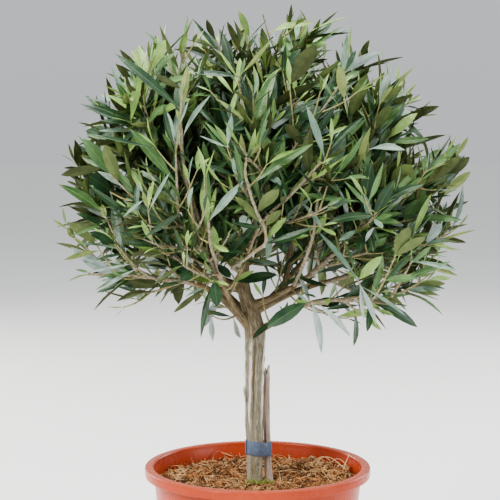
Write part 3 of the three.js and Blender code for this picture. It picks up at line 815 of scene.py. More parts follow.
moss_green = Finish("moss_green", (0.2, 0.21, 0.05), 0.8)
old_moss, fresh_moss = (0.11, 0.13, 0.025), (0.44, 0.45, 0.13)
moss_green.tint(moss_green.patches(0.003, 2, (0.3, old_moss), (0.7, fresh_moss)))
blades = kept_apart("blades", [moss_blade(i) for i in range(MOSS_BLADES)])
for name, (x, y, radius) in MOSS_PATCHES.items():
    base = heaps(x, y) + MOSS_OFF_BED
    patch_rings = [
        [(x + r * math.cos(a), y + MOSS_OVAL * r * math.sin(a), base) for a in round_angles(MOSS_AROUND)]
        for r in (radius, 0.5 * radius, 0.05 * radius)
    ]
    patch = skin("patch", patch_rings, capped=False)
    moss = strewed(name, patch, blades, MOSS_DENSITY, MOSS_SEED, MOSS_RISE, MOSS_TILT, moss_green)
    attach(moss, "root")
cleared(blades)


# ---------------------------------------------------------------- trunk and boughs
# One trunk, ridged by its growth and scarred where shoots were cut away, forks into thirteen boughs.
# Its bark is thin and pale grey, laid paler on its ridges as painted highlight and brown in its hollows,
# partly a stain and partly painted shade, and runs on unbroken through the forks.
Station = namedtuple("Station", "height x y radius")
# millimetres: height above the coir, where the stem's middle stands, and its radius
TRUNK = (
    Station(0.3, -2.6, 0, 7.4),
    Station(9, -2.5, 0, 7.0),
    Station(33, -2.2, 0, 7.3),
    Station(60, -2.9, 0, 7.9),
    Station(112, -2.4, 0, 8.6),
    Station(134, -2.0, 0, 9.2),
    Station(152, -5.4, 0, 7.2),
    Station(176, -13.4, 0, 5.6),
)
Bough = namedtuple("Bough", "name parent at azimuth reach rise early radii seed turn climb run every")
BOUGHS = (
    Bough("left_low", "trunk", 0.74, 205, 60, 50, 0.85, (4.4, 2.4), 11, -6, 7, 92, 14),
    Bough("left_high", "trunk", 0.985, 168, 52, 22, 0.45, (4.2, 2.4), 23, 4, 27, 104, 17),
    Bough("upper_left", "left_high", 0.42, 212, 14, 40, 0.4, (2.6, 2.0), 37, 0, 62, 114, 31),
    Bough("centre", "trunk", 0.985, 60, 6, 40, 0.5, (4.4, 2.6), 41, 0, 84, 138, 29),
    Bough("front", "left_high", 0.16, 288, 42, 36, 0.3, (2.6, 1.9), 53, 0, 50, 92, 24),
    Bough("front_left", "left_low", 0.32, 248, 38, 34, 0.35, (2.8, 2.0), 67, -10, 38, 90, 19),
    Bough("right_mid", "trunk", 0.9, 338, 44, 20, 0.3, (3.2, 2.2), 71, -14, 42, 108, 26),
    Bough("right_far", "trunk", 0.86, 12, 60, 24, 0.7, (4.0, 2.4), 83, -4, 14, 104, 19),
    Bough("upper_right", "right_far", 0.5, 60, 12, 40, 0.5, (3.0, 2.2), 97, -20, 62, 112, 28),
    Bough("right_low", "trunk", 0.76, 318, 50, 26, 0.5, (3.2, 2.0), 101, 8, 6, 94, 14),
    Bough("back", "trunk", 0.92, 98, 42, 46, 0.45, (3.8, 2.4), 113, 0, 50, 108, 27),
    Bough("back_left", "trunk", 0.8, 130, 58, 34, 0.6, (3.8, 2.4), 127, 0, 13, 100, 16),
    Bough("back_right", "right_far", 0.2, 54, 56, 32, 0.45, (3.2, 2.2), 131, -4, 18, 98, 19),
)
LINE_POINTS = 201
SKIN_GRAIN = 0.6 * MM  # size of the skin's faces
# ridges and hollows of the trunk: angle in degrees at its middle height, depth, and width in degrees
FLUTES = (
    (201, 0.55, 14),
    (221, -0.7, 8),
    (243, 0.9, 12),
    (266, -1.15, 8),
    (292, 0.1, 18),
    (308, -0.5, 8),
    (325, 1.05, 10),
    (352, -0.6, 13),
    (28, 0.5, 18),
    (62, -0.7, 14),
    (98, 0.6, 22),
    (140, -0.6, 15),
    (168, 0.4, 14),
)
FLUTE_TWIST = 0.12  # degrees a millimetre
FLUTE_MIDDLE = 95
FLUTES_END = (118, 156)  # height over which the ridges run out
SMOOTH_BELOW = (36, 66)  # heights between which they rise out of the smoother foot
SMOOTH_SHARE = 0.45
YOUNG_WOOD = (117, 156)  # height over which the bark turns to that of the boughs
BOUGH_YOUTH = 0.75  # how young it is there, from 0 to 1, before it gets younger along each bough
ROOT_SWELL = 0.35  # how much a bough's root widens into the limb that carries it
ROOT_RUN = 9  # how far along the bough that reaches
WRINKLE_DEPTHS = (0.32, 0.2)  # on the trunk and on the boughs, as for the broader lumps
LUMP_DEPTHS = (0.5, 0.35)
CUT_FOOT = 0.8  # height over the coir up to which the stems are cut clean
FOOT_EASE = 3  # height over which the relief then sets in
CARRIER_STEP = 1.6  # between the places along a limb that the skin's points are matched with
CARRIER_REACH = 5  # how far outside a limb's own radius they may lie
# height, angle, how wide and how proud each knot is, and how deep its stain, from 0 to 1
KNOTS = (
    (132, 231, 2.2, -0.9, 1.0),
    (133, 257, 1.8, -0.7, 0.9),
    (121, 240, 1.6, 0.9, 0.0),
    (117, 240, 2.0, -0.5, 1.0),
    (124, 296, 1.7, -0.6, 1.0),
    (99, 334, 1.7, -0.8, 0.8),
    (101, 338, 2.0, 0.7, 0.0),
    (83.5, 188, 2.3, 1.9, 0.0),
    (79.5, 190, 1.9, 0.6, 0.9),
    (66, 92, 2.6, 1.3, 0.4),
    (110, 20, 2.2, 0.9, 0.5),
    (48, 140, 2.0, 0.8, 0.6),
    (92, 120, 1.8, -0.6, 0.9),
)


def unit(v):
    return v / np.linalg.norm(v)


class Limb:
    """A limb's middle line, in millimetres, and its radius, by share: 0 at its root and 1 at its tip."""

    def __init__(self, path, radius_at):
        self.points = np.array([path(t) for t in np.linspace(0, 1, LINE_POINTS)])
        steps = np.linalg.norm(np.diff(self.points, axis=0), axis=1)
        self.length = steps.sum()
        self.shares = np.concatenate(([0], np.cumsum(steps))) / self.length
        self.radius_at = radius_at

    def at(self, share):
        return np.stack([np.interp(share, self.shares, axis) for axis in self.points.T], axis=-1)

    def way(self, share):
        return unit(self.at(min(share + 0.004, 1)) - self.at(max(share - 0.004, 0)))

    def axes(self, shares):
        """Two directions square to the limb at each share, carried along it without twist."""
        side = unit(np.cross(self.way(shares[0]), (0.0, 1.0, 0.02)))
        pairs = []
        for share in shares:
            way = self.way(share)
            side = unit(side - way * side.dot(way))
            pairs.append((side, np.cross(way, side)))
        return np.array(pairs)


def station_path(stations):
    """A smooth path through the stations, pulled tighter where they stand close."""
    points = [np.array((s.x, s.y, SOIL_TOP / MM + s.height)) for s in stations]
    points = [2 * points[0] - points[1], *points, 2 * points[-1] - points[-2]]

    def path(t):
        place = min(t * (len(stations) - 1), len(stations) - 1 - 1e-9)
        i = int(place)
        p0, p1, p2, p3 = points[i : i + 4]
        d0, d1, d2 = (np.linalg.norm(b - a) ** 0.5 for a, b in ((p0, p1), (p1, p2), (p2, p3)))
        out = ((p1 - p0) / d0 - (p2 - p0) / (d0 + d1) + (p2 - p1) / d1) * d1
        into = ((p2 - p1) / d1 - (p3 - p1) / (d1 + d2) + (p3 - p2) / d2) * d1
        f = place - i
        return p1 + out * f + (3 * (p2 - p1) - 2 * out - into) * f**2 + (2 * (p1 - p2) + out + into) * f**3

    return path


def station_radius(stations):
    heights = [s.height for s in stations]
    radii = [s.radius for s in stations]
    return lambda share: np.interp(heights[0] + share * (heights[-1] - heights[0]), heights, radii)


def bend(start, middle, end):
    """A path that leaves start towards middle and comes into end from it."""
    return lambda t: (1 - t) ** 2 * start + 2 * t * (1 - t) * middle + t * t * end


def taper(root, tip):
    return lambda share: root + (tip - root) * share


def heading(azimuth, climb):
    a, c = math.radians(azimuth), math.radians(climb)
    return np.array((math.cos(a) * math.cos(c), math.sin(a) * math.cos(c), math.sin(c)))


UP = np.array((0.0, 0.0, 1.0))
limbs = {"trunk": Limb(station_path(TRUNK), station_radius(TRUNK))}
for bough in BOUGHS:
    start = limbs[bough.parent].at(bough.at)
    out = heading(bough.azimuth, 0) * bough.reach
    middle = start + 0.5 * out + UP * bough.rise * bough.early
    limbs[bough.name] = Limb(bend(start, middle, start + out + UP * bough.rise), taper(*bough.radii))


def limb_tube(limb, around, step, swell=0):
    """A limb's plain round skin, in metres. swell widens its root into the limb that carries it."""
    shares = np.linspace(0, 1, max(4, round(limb.length / step)))
    angles = round_angles(around)
    rings = []
    for share, (side, over) in zip(shares, limb.axes(shares)):
        root = math.exp(-share * limb.length / ROOT_RUN)
        radius = limb.radius_at(share) * (1 + swell * root)
        round_it = np.outer(np.cos(angles), side) + np.outer(np.sin(angles), over)
        rings.append((limb.at(share) + round_it * radius) * MM)
    return skin("limb", rings)


def melted(name, pieces, face):
    """Several closed pieces melted into one skin with faces of about that size."""
    made = bmesh.new()
    for piece in pieces:
        made.from_mesh(piece.data)
        bpy.data.objects.remove(piece)
    whole = poured(name, made)
    remesh = whole.modifiers.new("melt", "REMESH")
    remesh.mode = "VOXEL"
    remesh.voxel_size = face
    relax = whole.modifiers.new("relax", "SMOOTH")
    relax.factor = 0.6
    relax.iterations = 5
    whole = applied(whole)
    whole.data.shade_smooth()
    return whole


def placed_on(points, carriers):
    """For each point, in millimetres: its limb, its share along it, and its place in the limb's axes."""
    count = len(points)
    best = np.full(count, np.inf)
    owner = np.zeros(count, int)
    share = np.zeros(count)
    local = np.zeros((count, 3))
    for number, limb in enumerate(carriers):
        shares = np.linspace(0, 1, max(12, int(limb.length / CARRIER_STEP)))
        line = limb.at(shares)
        radii = np.array([limb.radius_at(s) for s in shares])
        reach = radii.max() + CARRIER_REACH
        near = np.flatnonzero(((points > line.min(0) - reach) & (points < line.max(0) + reach)).all(1))
        away = np.linalg.norm(points[near, None] - line[None], axis=2)
        nearest = away.argmin(1)
        gap = away[np.arange(len(near)), nearest] - radii[nearest]
        better = gap < best[near]
        chosen, nearest = near[better], nearest[better]
        best[chosen] = gap[better]
        owner[chosen] = number
        share[chosen] = shares[nearest]
        axes = limb.axes(shares)[nearest]
        ways = np.array([limb.way(s) for s in shares])[nearest]
        offset = points[chosen] - line[nearest]
        local[chosen, 0] = (offset * axes[:, 0]).sum(1)
        local[chosen, 1] = (offset * axes[:, 1]).sum(1)
        local[chosen, 2] = shares[nearest] * limb.length + (offset * ways).sum(1)
    return owner, share, local


def grain_noise(local, size, stretch, phase=0.0):
    """Ragged streaks along a limb, about size wide and stretch times as long: -1 to 1."""
    places = local / (size, size, size * stretch) + phase
    return np.array([noise.fractal(Vector(p), 0.8, 2.0, 4) for p in places])


def angle_round(places, line):
    """The angle in degrees at which each place stands round its own point of a line."""
    return np.degrees(np.arctan2(places[:, 1] - line[:, 1], places[:, 0] - line[:, 0]))


def near_line(angle, width):
    """1 on a line down a stem and falling to 0 beside it, from the angle off it, in degrees."""
    return np.exp(-((((angle + 180) % 360 - 180) / width) ** 2))


def fluting(angle, height):
    turned_by = FLUTE_TWIST * (height - FLUTE_MIDDLE)
    total = np.zeros(len(angle))
    for middle, depth, width in FLUTES:
        total += depth * near_line(angle - middle - turned_by, width)
    return total * np.interp(height, SMOOTH_BELOW + FLUTES_END, (SMOOTH_SHARE, 1, 1, 0))


def carve(piece, places, relief, foot):
    """Moves a piece's points out by the relief, in millimetres. Its cut foot stays flat."""
    above_cut = np.clip((places[:, 2] - SOIL_TOP / MM - CUT_FOOT) / FOOT_EASE, 0, 1)
    places += points_of(piece, "normal") * (relief * above_cut)[:, None]
    places[:, 2] = np.maximum(places[:, 2], SOIL_TOP / MM + foot)
    set_points(piece, places * MM)


tubes = [limb_tube(limbs["trunk"], around=40, step=2.0)]
tubes += [limb_tube(limbs[bough.name], around=20, step=2.0, swell=ROOT_SWELL) for bough in BOUGHS]
wood = melted("wood", tubes, SKIN_GRAIN)
places = points_of(wood) / MM
owner, share, local = placed_on(places, list(limbs.values()))
on_trunk = owner == 0
height = places[:, 2] - SOIL_TOP / MM
ridges = np.where(on_trunk, fluting(angle_round(places, limbs["trunk"].at(share)), height), 0)
wrinkles = grain_noise(local, size=1.7, stretch=7)
lumps = grain_noise(local, size=5.0, stretch=3, phase=40)
relief = ridges + np.where(on_trunk, *WRINKLE_DEPTHS) * wrinkles + np.where(on_trunk, *LUMP_DEPTHS) * lumps
stain = np.zeros(len(places))
for knot_height, knot_angle, size, proud, depth in KNOTS:
    at = math.radians(knot_angle)
    trunk_share = (knot_height - TRUNK[0].height) / (TRUNK[-1].height - TRUNK[0].height)
    out = limbs["trunk"].radius_at(trunk_share)
    knot = limbs["trunk"].at(trunk_share) + out * np.array((math.cos(at), math.sin(at), 0))
    near = np.exp(-(np.linalg.norm((places - knot) / (1, 1, 1.3), axis=1) / size) ** 2)
    relief += proud * near
    stain = np.maximum(stain, depth * near)
carve(wood, places, relief, TRUNK[0].height)
measure(wood, "grain", local * MM)
measure(wood, "ridge", np.clip(0.5 + 0.42 * ridges + 0.12 * wrinkles, 0, 1))
measure(wood, "foot", np.where(on_trunk, np.interp(height, SMOOTH_BELOW, (1, 0)), 0))
measure(wood, "stain", stain)
young_trunk = np.interp(height, YOUNG_WOOD, (0, BOUGH_YOUTH))
measure(wood, "youth", np.where(on_trunk, young_trunk, BOUGH_YOUTH + (1 - BOUGH_YOUTH) * share))

bark = Finish("olive_bark", (0.4, 0.36, 0.28), 0.85, Specular_IOR_Level=0.3)
streaks = bark.mottle(0.0013, 5, (1, 1, 0.16), "grain", 0.65)
blotches = bark.mottle(0.006, 4, (1, 1, 0.3), "grain")
specks = bark.mottle(0.0009, 3, (1, 1, 0.5), "grain")
old = bark.ramp(streaks, (0.3, (0.11, 0.1, 0.065)), (0.5, (0.28, 0.26, 0.195)), (0.7, (0.52, 0.49, 0.4)))
old = bark.laid(old, (0.24, 0.19, 0.1), blotches, (0.52, 0.0), (0.72, 0.6))
# painted highlight: the ridges are laid pale
old = bark.laid(old, (0.86, 0.82, 0.76), bark.measured("ridge"), (0.66, 0.0), (0.84, 0.85))
# the hollows are laid brown: partly a stain, partly painted shade
old = bark.laid(old, (0.15, 0.1, 0.052), bark.measured("ridge"), (0.08, 0.85), (0.36, 0.0))
plain = bark.ramp(specks, (0.32, (0.13, 0.112, 0.07)), (0.5, (0.33, 0.29, 0.215)), (0.7, (0.55, 0.51, 0.42)))
plain = bark.laid(plain, (0.2, 0.17, 0.09), blotches, (0.5, 0.0), (0.7, 0.75))
old = bark.laid(old, plain, bark.measured("foot"), (0.0, 0.0), (1.0, 0.65))
olive, tan, fawn = (0.09, 0.058, 0.024), (0.19, 0.14, 0.072), (0.37, 0.31, 0.2)
green = bark.ramp(streaks, (0.3, olive), (0.5, tan), (0.72, fawn))
green = bark.laid(green, (0.24, 0.125, 0.045), blotches, (0.5, 0.0), (0.7, 0.7))
tone = bark.mix(bark.measured("youth"), old, green)
tone = bark.laid(tone, (0.16, 0.12, 0.075), specks, (0.6, 0.0), (0.71, 0.62))
bark.tint(bark.laid(tone, (0.22, 0.13, 0.06), bark.measured("stain"), (0.15, 0.0), (0.8, 0.65)))
bark.relief(streaks, 0.0006)
bark.relief(specks, 0.00025)
dress(wood, bark)
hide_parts("trunk", *[f"bough_{bough.name}" for bough in BOUGHS])
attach(wood, "root")


# ---------------------------------------------------------------- cut side stem
# A second stem was cut off at about two thirds of the trunk's height and has died: grey-pink dry wood with
# its bark gone, split lengthwise, and torn into two short hooks at the top.
SIDE_STEM = (
    Station(0.3, 10.4, 2.6, 3.9),
    Station(10, 9.6, 2.8, 3.3),
    Station(60, 8.0, 5.2, 3.1),
    Station(100, 8.2, 5.6, 2.9),
    Station(105, 8.4, 5.6, 3.3),
)
STEM_CUT = 0.93  # share of the solid's height where the whole wood ends and the hooks begin
STEM_GRAIN = 0.45 * MM
FIBRE_DEPTH = 0.16
STEM_LUMP_DEPTH = 0.25
# each hook: its foot, bend and tip, from the stem's middle at the cut, and its radius at foot and tip
HOOKS = (
    ((1.2, -0.4, -4), (0.7, -0.6, 3.4), (2.3, -0.8, 7.6), (1.9, 0.9)),
    ((-1.3, 0.3, -4), (-1.8, 0.4, 1.5), (-1.0, 0.2, 5.2), (1.5, 0.5)),
    ((0.1, 1.2, -4), (0.4, 1.6, 1.0), (0.2, 1.9, 3.6), (1.3, 0.4)),
)
# splits down the stem: angle in degrees, depth, and width in degrees
SPLITS = (
    (236, 0.9, 8),
    (262, 0.35, 7),
    (300, 0.7, 7),
    (332, 0.3, 9),
    (20, 0.6, 9),
    (95, 0.8, 9),
    (160, 0.5, 10),
)
SPLIT_TWIST = 0.15  # degrees a millimetre
SPLIT_MIDDLE = 50
TORN_FROM = 92  # height from which the wood is torn and pale, over the next few millimetres
TORN_EASE = 6

side_limb = Limb(station_path(SIDE_STEM), station_radius(SIDE_STEM))
whole_line = side_limb.at(np.linspace(0, STEM_CUT, 12))
whole_stem = Limb(
    lambda t: np.array([np.interp(t, np.linspace(0, 1, 12), axis) for axis in whole_line.T]),
    lambda share: side_limb.radius_at(share * STEM_CUT),
)
stem_top = side_limb.at(STEM_CUT)
hooks = [
    Limb(bend(stem_top + foot, stem_top + middle, stem_top + tip), taper(*radii))
    for foot, middle, tip, radii in HOOKS
]
tubes = [limb_tube(whole_stem, around=24, step=1.5)]
tubes += [limb_tube(hook, around=12, step=0.6) for hook in hooks]
side_stem = melted("side_stem", tubes, STEM_GRAIN)
places = points_of(side_stem) / MM
owner, _, local = placed_on(places, [whole_stem, *hooks])
height = places[:, 2] - SOIL_TOP / MM
angle = angle_round(places, side_limb.at(np.clip(height / SIDE_STEM[-1].height, 0, 1)))
splits = np.zeros(len(places))
for split_angle, depth, width in SPLITS:
    broken = 0.6 + 0.4 * np.sin(height * 0.11 + split_angle)
    off = angle - split_angle + SPLIT_TWIST * (height - SPLIT_MIDDLE)
    splits += depth * broken * near_line(off, width)
fibres = grain_noise(local, size=0.9, stretch=12, phase=9)
lumps = grain_noise(local, size=3.5, stretch=4, phase=2)
relief = FIBRE_DEPTH * fibres + STEM_LUMP_DEPTH * lumps - splits * (owner == 0)
carve(side_stem, places, relief, SIDE_STEM[0].height)
measure(side_stem, "grain", local * MM)
measure(side_stem, "split", np.clip(splits, 0, 1))
measure(side_stem, "torn", np.clip((height - TORN_FROM) / TORN_EASE, 0, 1))

dry = Finish("dry_wood", (0.5, 0.4, 0.33), 0.9, Specular_IOR_Level=0.25)
dry_streaks = dry.mottle(0.0009, 5, (1, 1, 0.06), "grain", 0.65)
weathered, bare, bleached = (0.3, 0.225, 0.18), (0.5, 0.4, 0.335), (0.7, 0.61, 0.54)
dry_tone = dry.ramp(dry_streaks, (0.3, weathered), (0.5, bare), (0.72, bleached))
dry_blotches = dry.mottle(0.007, 3, (1, 1, 0.3), "grain")
dry_tone = dry.laid(dry_tone, (0.45, 0.27, 0.17), dry_blotches, (0.5, 0.0), (0.75, 0.6))
dry_tone = dry.laid(dry_tone, (0.75, 0.67, 0.62), dry.measured("torn"), (0.2, 0.0), (0.9, 0.6))
# painted shade: the splits are laid nearly black
dry.tint(dry.laid(dry_tone, (0.13, 0.08, 0.055), dry.measured("split"), (0.2, 0.0), (0.7, 0.9)))
dry.relief(dry_streaks, 0.0004)
dress(side_stem, dry)
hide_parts("cut_side_stem")
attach(side_stem, "root")


# ---------------------------------------------------------------- tie
# Half-inch plastic tie tape, slate blue, drawn once round trunk and side stem and welded to itself at the
# left, where its cut end stands off.
BAND_MIDDLE = 33  # millimetres over the coir
BAND_WIDTH = 12.5
BAND_THICKNESS = 0.5
BAND_SLACK = 0.35
BAND_DIP = 2.6  # how much lower it lies where it rounds the side stem
BAND_LAP = 11  # how far the tape runs over its own start
BAND_CLIMB = 0.3  # how much higher its end lies than its start
BAND_SEAM = 126  # degrees round the trunk where the tape starts
BAND_STEP = 0.5
BAND_CORNER = 0.2
BAND_EASE = 4  # length over which its end climbs on to its start, and then peels off
BAND_PEEL = 0.3  # how far it stands off at last
BAND_WAVER = 0.1  # how far it runs up and down on its way round


def station_at(stations, height):
    heights = [s.height for s in stations]
    return [np.interp(height, heights, [getattr(s, key) for s in stations]) for key in ("x", "y", "radius")]


def tape_route():
    """The middle of the tape seen from above, anticlockwise from the trunk's left, with its lapped end."""
    ax, ay, ar = station_at(TRUNK, BAND_MIDDLE)
    bx, by, br = station_at(SIDE_STEM, BAND_MIDDLE)
    off = BAND_SLACK + BAND_THICKNESS / 2
    way = math.atan2(by - ay, bx - ax)
    lean = math.acos((ar - br) / math.hypot(bx - ax, by - ay))
    seam = math.radians(BAND_SEAM)
    turns = [(ax, ay, ar + off, seam, way + 2 * math.pi - lean)]
    turns.append((bx, by, br + off, way + 2 * math.pi - lean, way + 2 * math.pi + lean))
    turns.append((ax, ay, ar + off, way + 2 * math.pi + lean, seam + 2 * math.pi))
    points = []
    for x, y, radius, start, end in turns:
        angles = np.linspace(start, end, max(3, round(radius * (end - start) / BAND_STEP)))
        points += [(x + radius * math.cos(a), y + radius * math.sin(a)) for a in angles]
    points = np.array(points)
    far = np.concatenate(([0], np.cumsum(np.linalg.norm(np.diff(points, axis=0), axis=1))))
    round_once = far[-1]
    shares = np.arange(0, round_once + BAND_LAP, BAND_STEP)
    laid = np.stack([np.interp(shares % round_once, far, axis) for axis in points.T], axis=1)
    ways = np.gradient(laid, axis=0)
    ways /= np.linalg.norm(ways, axis=1, keepdims=True)
    outward = np.stack((ways[:, 1], -ways[:, 0]), axis=1)
    over = np.clip((shares - round_once + BAND_EASE) / BAND_EASE, 0, 1) * (BAND_THICKNESS + 0.05)
    peel = np.clip((shares - round_once - BAND_LAP + BAND_EASE) / BAND_EASE, 0, 1) ** 2 * BAND_PEEL
    return laid + outward * (over + peel)[:, None], outward, shares / shares[-1]


def tape_section():
    """The tape's cross-section: (out, up) points round it, with rounded edges."""
    half, thick, r = BAND_WIDTH / 2, BAND_THICKNESS / 2, BAND_CORNER
    turns = ((1, 1, 0), (-1, 1, 90), (-1, -1, 180), (1, -1, 270))
    corners = [((x * (thick - r), y * (half - r)), turn) for x, y, turn in turns]
    return [p for at, turn in corners for p in corner(at, r, turn, turn + 90, 4)]


route, outward, shares = tape_route()
rings = []
for (x, y), (ox, oy), share in zip(route, outward, shares):
    dip = BAND_DIP * np.clip((x - TRUNK[2].x) / (SIDE_STEM[2].x - TRUNK[2].x), 0, 1)
    lift = SOIL_TOP / MM + BAND_MIDDLE + BAND_CLIMB * (share - 0.5) - dip
    lift += BAND_WAVER * math.sin(share * 40)
    rings.append([(x + ox * out, y + oy * out, lift + up) for out, up in tape_section()])
tie = skin("tie_tape", np.array(rings)[:, ::-1] * MM)
tie.data.set_sharp_from_angle(angle=math.radians(50))

tape = Finish("slate_tape", (0.085, 0.125, 0.19), 0.5, Specular_IOR_Level=0.4)
soiled, slate, rubbed = (0.1, 0.135, 0.2), (0.14, 0.185, 0.27), (0.24, 0.3, 0.4)
tape.tint(tape.patches(0.004, 4, (0.3, soiled), (0.55, slate), (0.8, rubbed)))
tape.shine(tape.patches(0.003, 3, (0.3, 0.4), (0.7, 0.62)))
tape.relief(tape.mottle(0.0005, 2, (1, 1, 0.4)), 0.00012)
dress(tie, tape)
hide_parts("tie_band")
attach(tie, "root")


# ---------------------------------------------------------------- twigs
# Each bough carries on in one leading shoot. Twigs leave it in pairs, each pair across the one before, and
# carry finer twigs in turn. They stay inside the crown's outline and nearer their own shoot than any other.
CROWN = {
    "x": 5,
    "y": 0,
    "height": 246,
    "left": 182,
    "right": 192,
    "side": 176,
    "up": 176,
    "down": 136,
    "power": 2.4,
}
TWIG_EVERY = 19  # millimetres between the pairs of twigs on a leading shoot
FIRST_TWIG = 0.55  # where the first pair stands, in steps from the shoot's root
TWIG_SPREAD = 48  # degrees off it
TWIG_SPREAD_PLAY = 22  # how far each is thrown off that, in degrees, and off its turn, in radians
TWIG_TURN_PLAY = 0.7
TWIG_REACH = (0.75, 1.05)  # share of the room that a twig takes
TWIG_LENGTH = (20, 80)
TWIG_LIFT = 0.22  # how far a twig bends up, as a share of its length
SHORTER = (1, 0.72, 0.5)  # a twig that would leave its space is tried again shorter
STEEP = 0.94  # a stem nearer upright than this is turned about X instead of Z
SPACE_MARGIN = 2.7  # a twig keeps this far inside its own space, and off the limbs
TWIG_OFF_LIMBS = 3.7
FINE_OFF_LIMBS = 2.2
LEAF_ROOM = 33  # room kept at a twig's tip for its leaves
FINE_EVERY = 16  # the same again for the finer twigs
FIRST_FINE = 0.9
FINE_SPREAD = 42
FINE_SPREAD_PLAY = 24
FINE_TURN_PLAY = 0.6
FINE_LENGTH = (14, 44)
FINE_CROSSING = -4
FINE_LONG = 1.1  # their length at the root of their stem beside the wish
FINE_LOSS = 0.5  # how much of that goes towards its tip
FINE_LEAF_ROOM = 0.6  # share of the leaf room kept at their tips
FINE_SHARE = 0.8  # how many of the places for a fine twig hold one
FINE_RIM = 0.5  # how far out in the crown the shortest of them stay, so that its outline is ragged
STEM_EASE = 0.3  # share of its run over which a leading shoot turns out of its bough's way
LEADER_GAP = 0.3  # how far beyond its bough's tip it starts
LEADER_ROOT = 0.96  # its radius there beside the bough's
LEADER_SINK = 5  # how far its root is then sunk into the bough
LEADER_RADIUS = 0.85
TWIG_RADII = (1.3, 0.65)
FINE_RADII = (0.8, 0.48)
NODE_EVERY = 9.5  # between the nodes that carry leaves
NODE_SWELL = 0.3
OPEN_BELOW = (150, 235)  # heights above the coir between which the crown closes
OPEN_SHARE = 0.25  # share of the fine twigs and leaves that grow at the lower of them
SPURS = 5  # short shoots on each bough
SPUR_LENGTH = (16, 46)
SPUR_CROSSING = -30  # inside the crown the spaces run into each other this far
SPUR_LOW = 0.3  # share of the bough below which there are none
SPUR_SPREAD = (40, 75)
SPUR_ROOT = 0.6  # where one starts, as a share of the bough's radius
SPUR_LIFT = 1.6  # how far it bends up, beside a twig
SPUR_OFF_LIMBS = 1.0
SEED_STEPS = {"leader": 5, "fine": 17, "spur": 41}  # added to the seed of the bough or twig
CROOK = 0.8  # how far a twig wanders off its line
TWIG_STEP = 2.8  # between the points of its line
NODE_WIDTH = 1.3
LAST_NODE = 0.97  # share of a shoot's length
BARE = {"leader": 0.16, "twig": 0.12, "fine": 0.12, "spur": 0.15, "shown": 0.3}  # share with no leaves
LEAF_BELOW = -5  # how far leaves may reach into a neighbour's space
# The shoots that show most from the front: the limb that carries each, where along it, its seed, and the
# places it runs through. Each place is a height above the coir, x, y and the shoot's radius.
Shown = namedtuple("Shown", "carrier at seed places")
SHOWN = (
    Shown("front", 0.5, 3, (
        Station(197, -22, -48, 1.8),
        Station(204, -15, -70, 1.7),
        Station(213, -5, -88, 1.6),
        Station(224, 6, -101, 1.5),
        Station(235, 5, -108, 1.4),
        Station(248, -0.5, -116, 1.35),
        Station(263, -6, -124, 1.2),
        Station(279, -10.5, -132, 1.05),
        Station(293, -10, -140, 0.9),
    )),
    Shown("front_left", 0.95, 7, (
        Station(206, -35, -72, 1.6),
        Station(223, -39, -98, 1.4),
        Station(241, -40, -115, 1.0),
    )),
    Shown("upper_left", 0.9, 9, (
        Station(241, -50, -50, 1.6),
        Station(269, -59, -84, 1.5),
        Station(306, -62, -104, 1.3),
        Station(346, -60, -116, 0.9),
    )),
    Shown("front", 0.9, 15, (
        Station(238, 4, -72, 1.5),
        Station(270, 34, -104, 1.3),
        Station(289, 50, -116, 0.9),
    )),
    Shown("right_mid", 0.95, 19, (
        Station(200, 38, -50, 1.5),
        Station(229, 46, -76, 1.4),
        Station(256, 48, -88, 1.2),
        Station(281, 53, -97, 0.9),
    )),
)


def dice(seed):
    """The same chain of numbers between 0 and 1 on every run."""
    state = seed * 7919 % 2147483647

    def throw():
        nonlocal state
        state = state * 48271 % 2147483647
        return state / 2147483647

    return throw


def crown_share(points):
    """0 at the crown's centre and 1 on its outline, for each point."""
    x, y, z = np.atleast_2d(points).T
    over = z - SOIL_TOP / MM - CROWN["height"]
    side = np.where(x < CROWN["x"], CROWN["left"], CROWN["right"])
    tall = np.where(over > 0, CROWN["up"], CROWN["down"])
    parts = np.abs(((x - CROWN["x"]) / side, (y - CROWN["y"]) / CROWN["side"], over / tall))
    return (parts ** CROWN["power"]).sum(0)


def room_along(start, direction):
    """How far it is from a point to the crown's outline."""
    lengths = np.arange(0, 264, 4)
    outside = crown_share(start + lengths[:, None] * direction) >= 1
    return lengths[outside.argmax()] if outside.any() else lengths[-1]


def grown(start, direction, length, lift, radii):
    """A twig's line, bending up towards its tip."""
    end = start + direction * length + UP * length * lift
    return Limb(bend(start, start + direction * length * 0.5, end), taper(*radii))


def sideways(way, turn, spread):
    """The way a side shoot leaves a stem: spread degrees off it, turn radians round it."""
    aside = np.array((1.0, 0, 0)) if abs(way[2]) > STEEP else UP
    side = unit(np.cross(way, aside))
    side = side * math.cos(turn) + np.cross(way, side) * math.sin(turn)
    angle = math.radians(spread)
    return way * math.cos(angle) + side * math.sin(angle)


def low_down(point):
    """1 at the crown's open underside and 0 where it has closed."""
    return np.interp(point[2] - SOIL_TOP / MM, OPEN_BELOW, (1, 0))


class Lines:
    """Several broken lines of equal count, and how far points lie from each."""

    def __init__(self, lines):
        self.starts = np.array([line[:-1] for line in lines])
        self.runs = np.array([line[1:] - line[:-1] for line in lines])
        self.squares = (self.runs**2).sum(2)

    def away(self, points):
        """The distance of each point from each line: rows are points."""
        from_start = points[:, None, None] - self.starts[None]
        share = np.clip((from_start * self.runs).sum(3) / self.squares, 0, 1)
        return np.sqrt(((from_start - share[..., None] * self.runs) ** 2).sum(3).min(2))


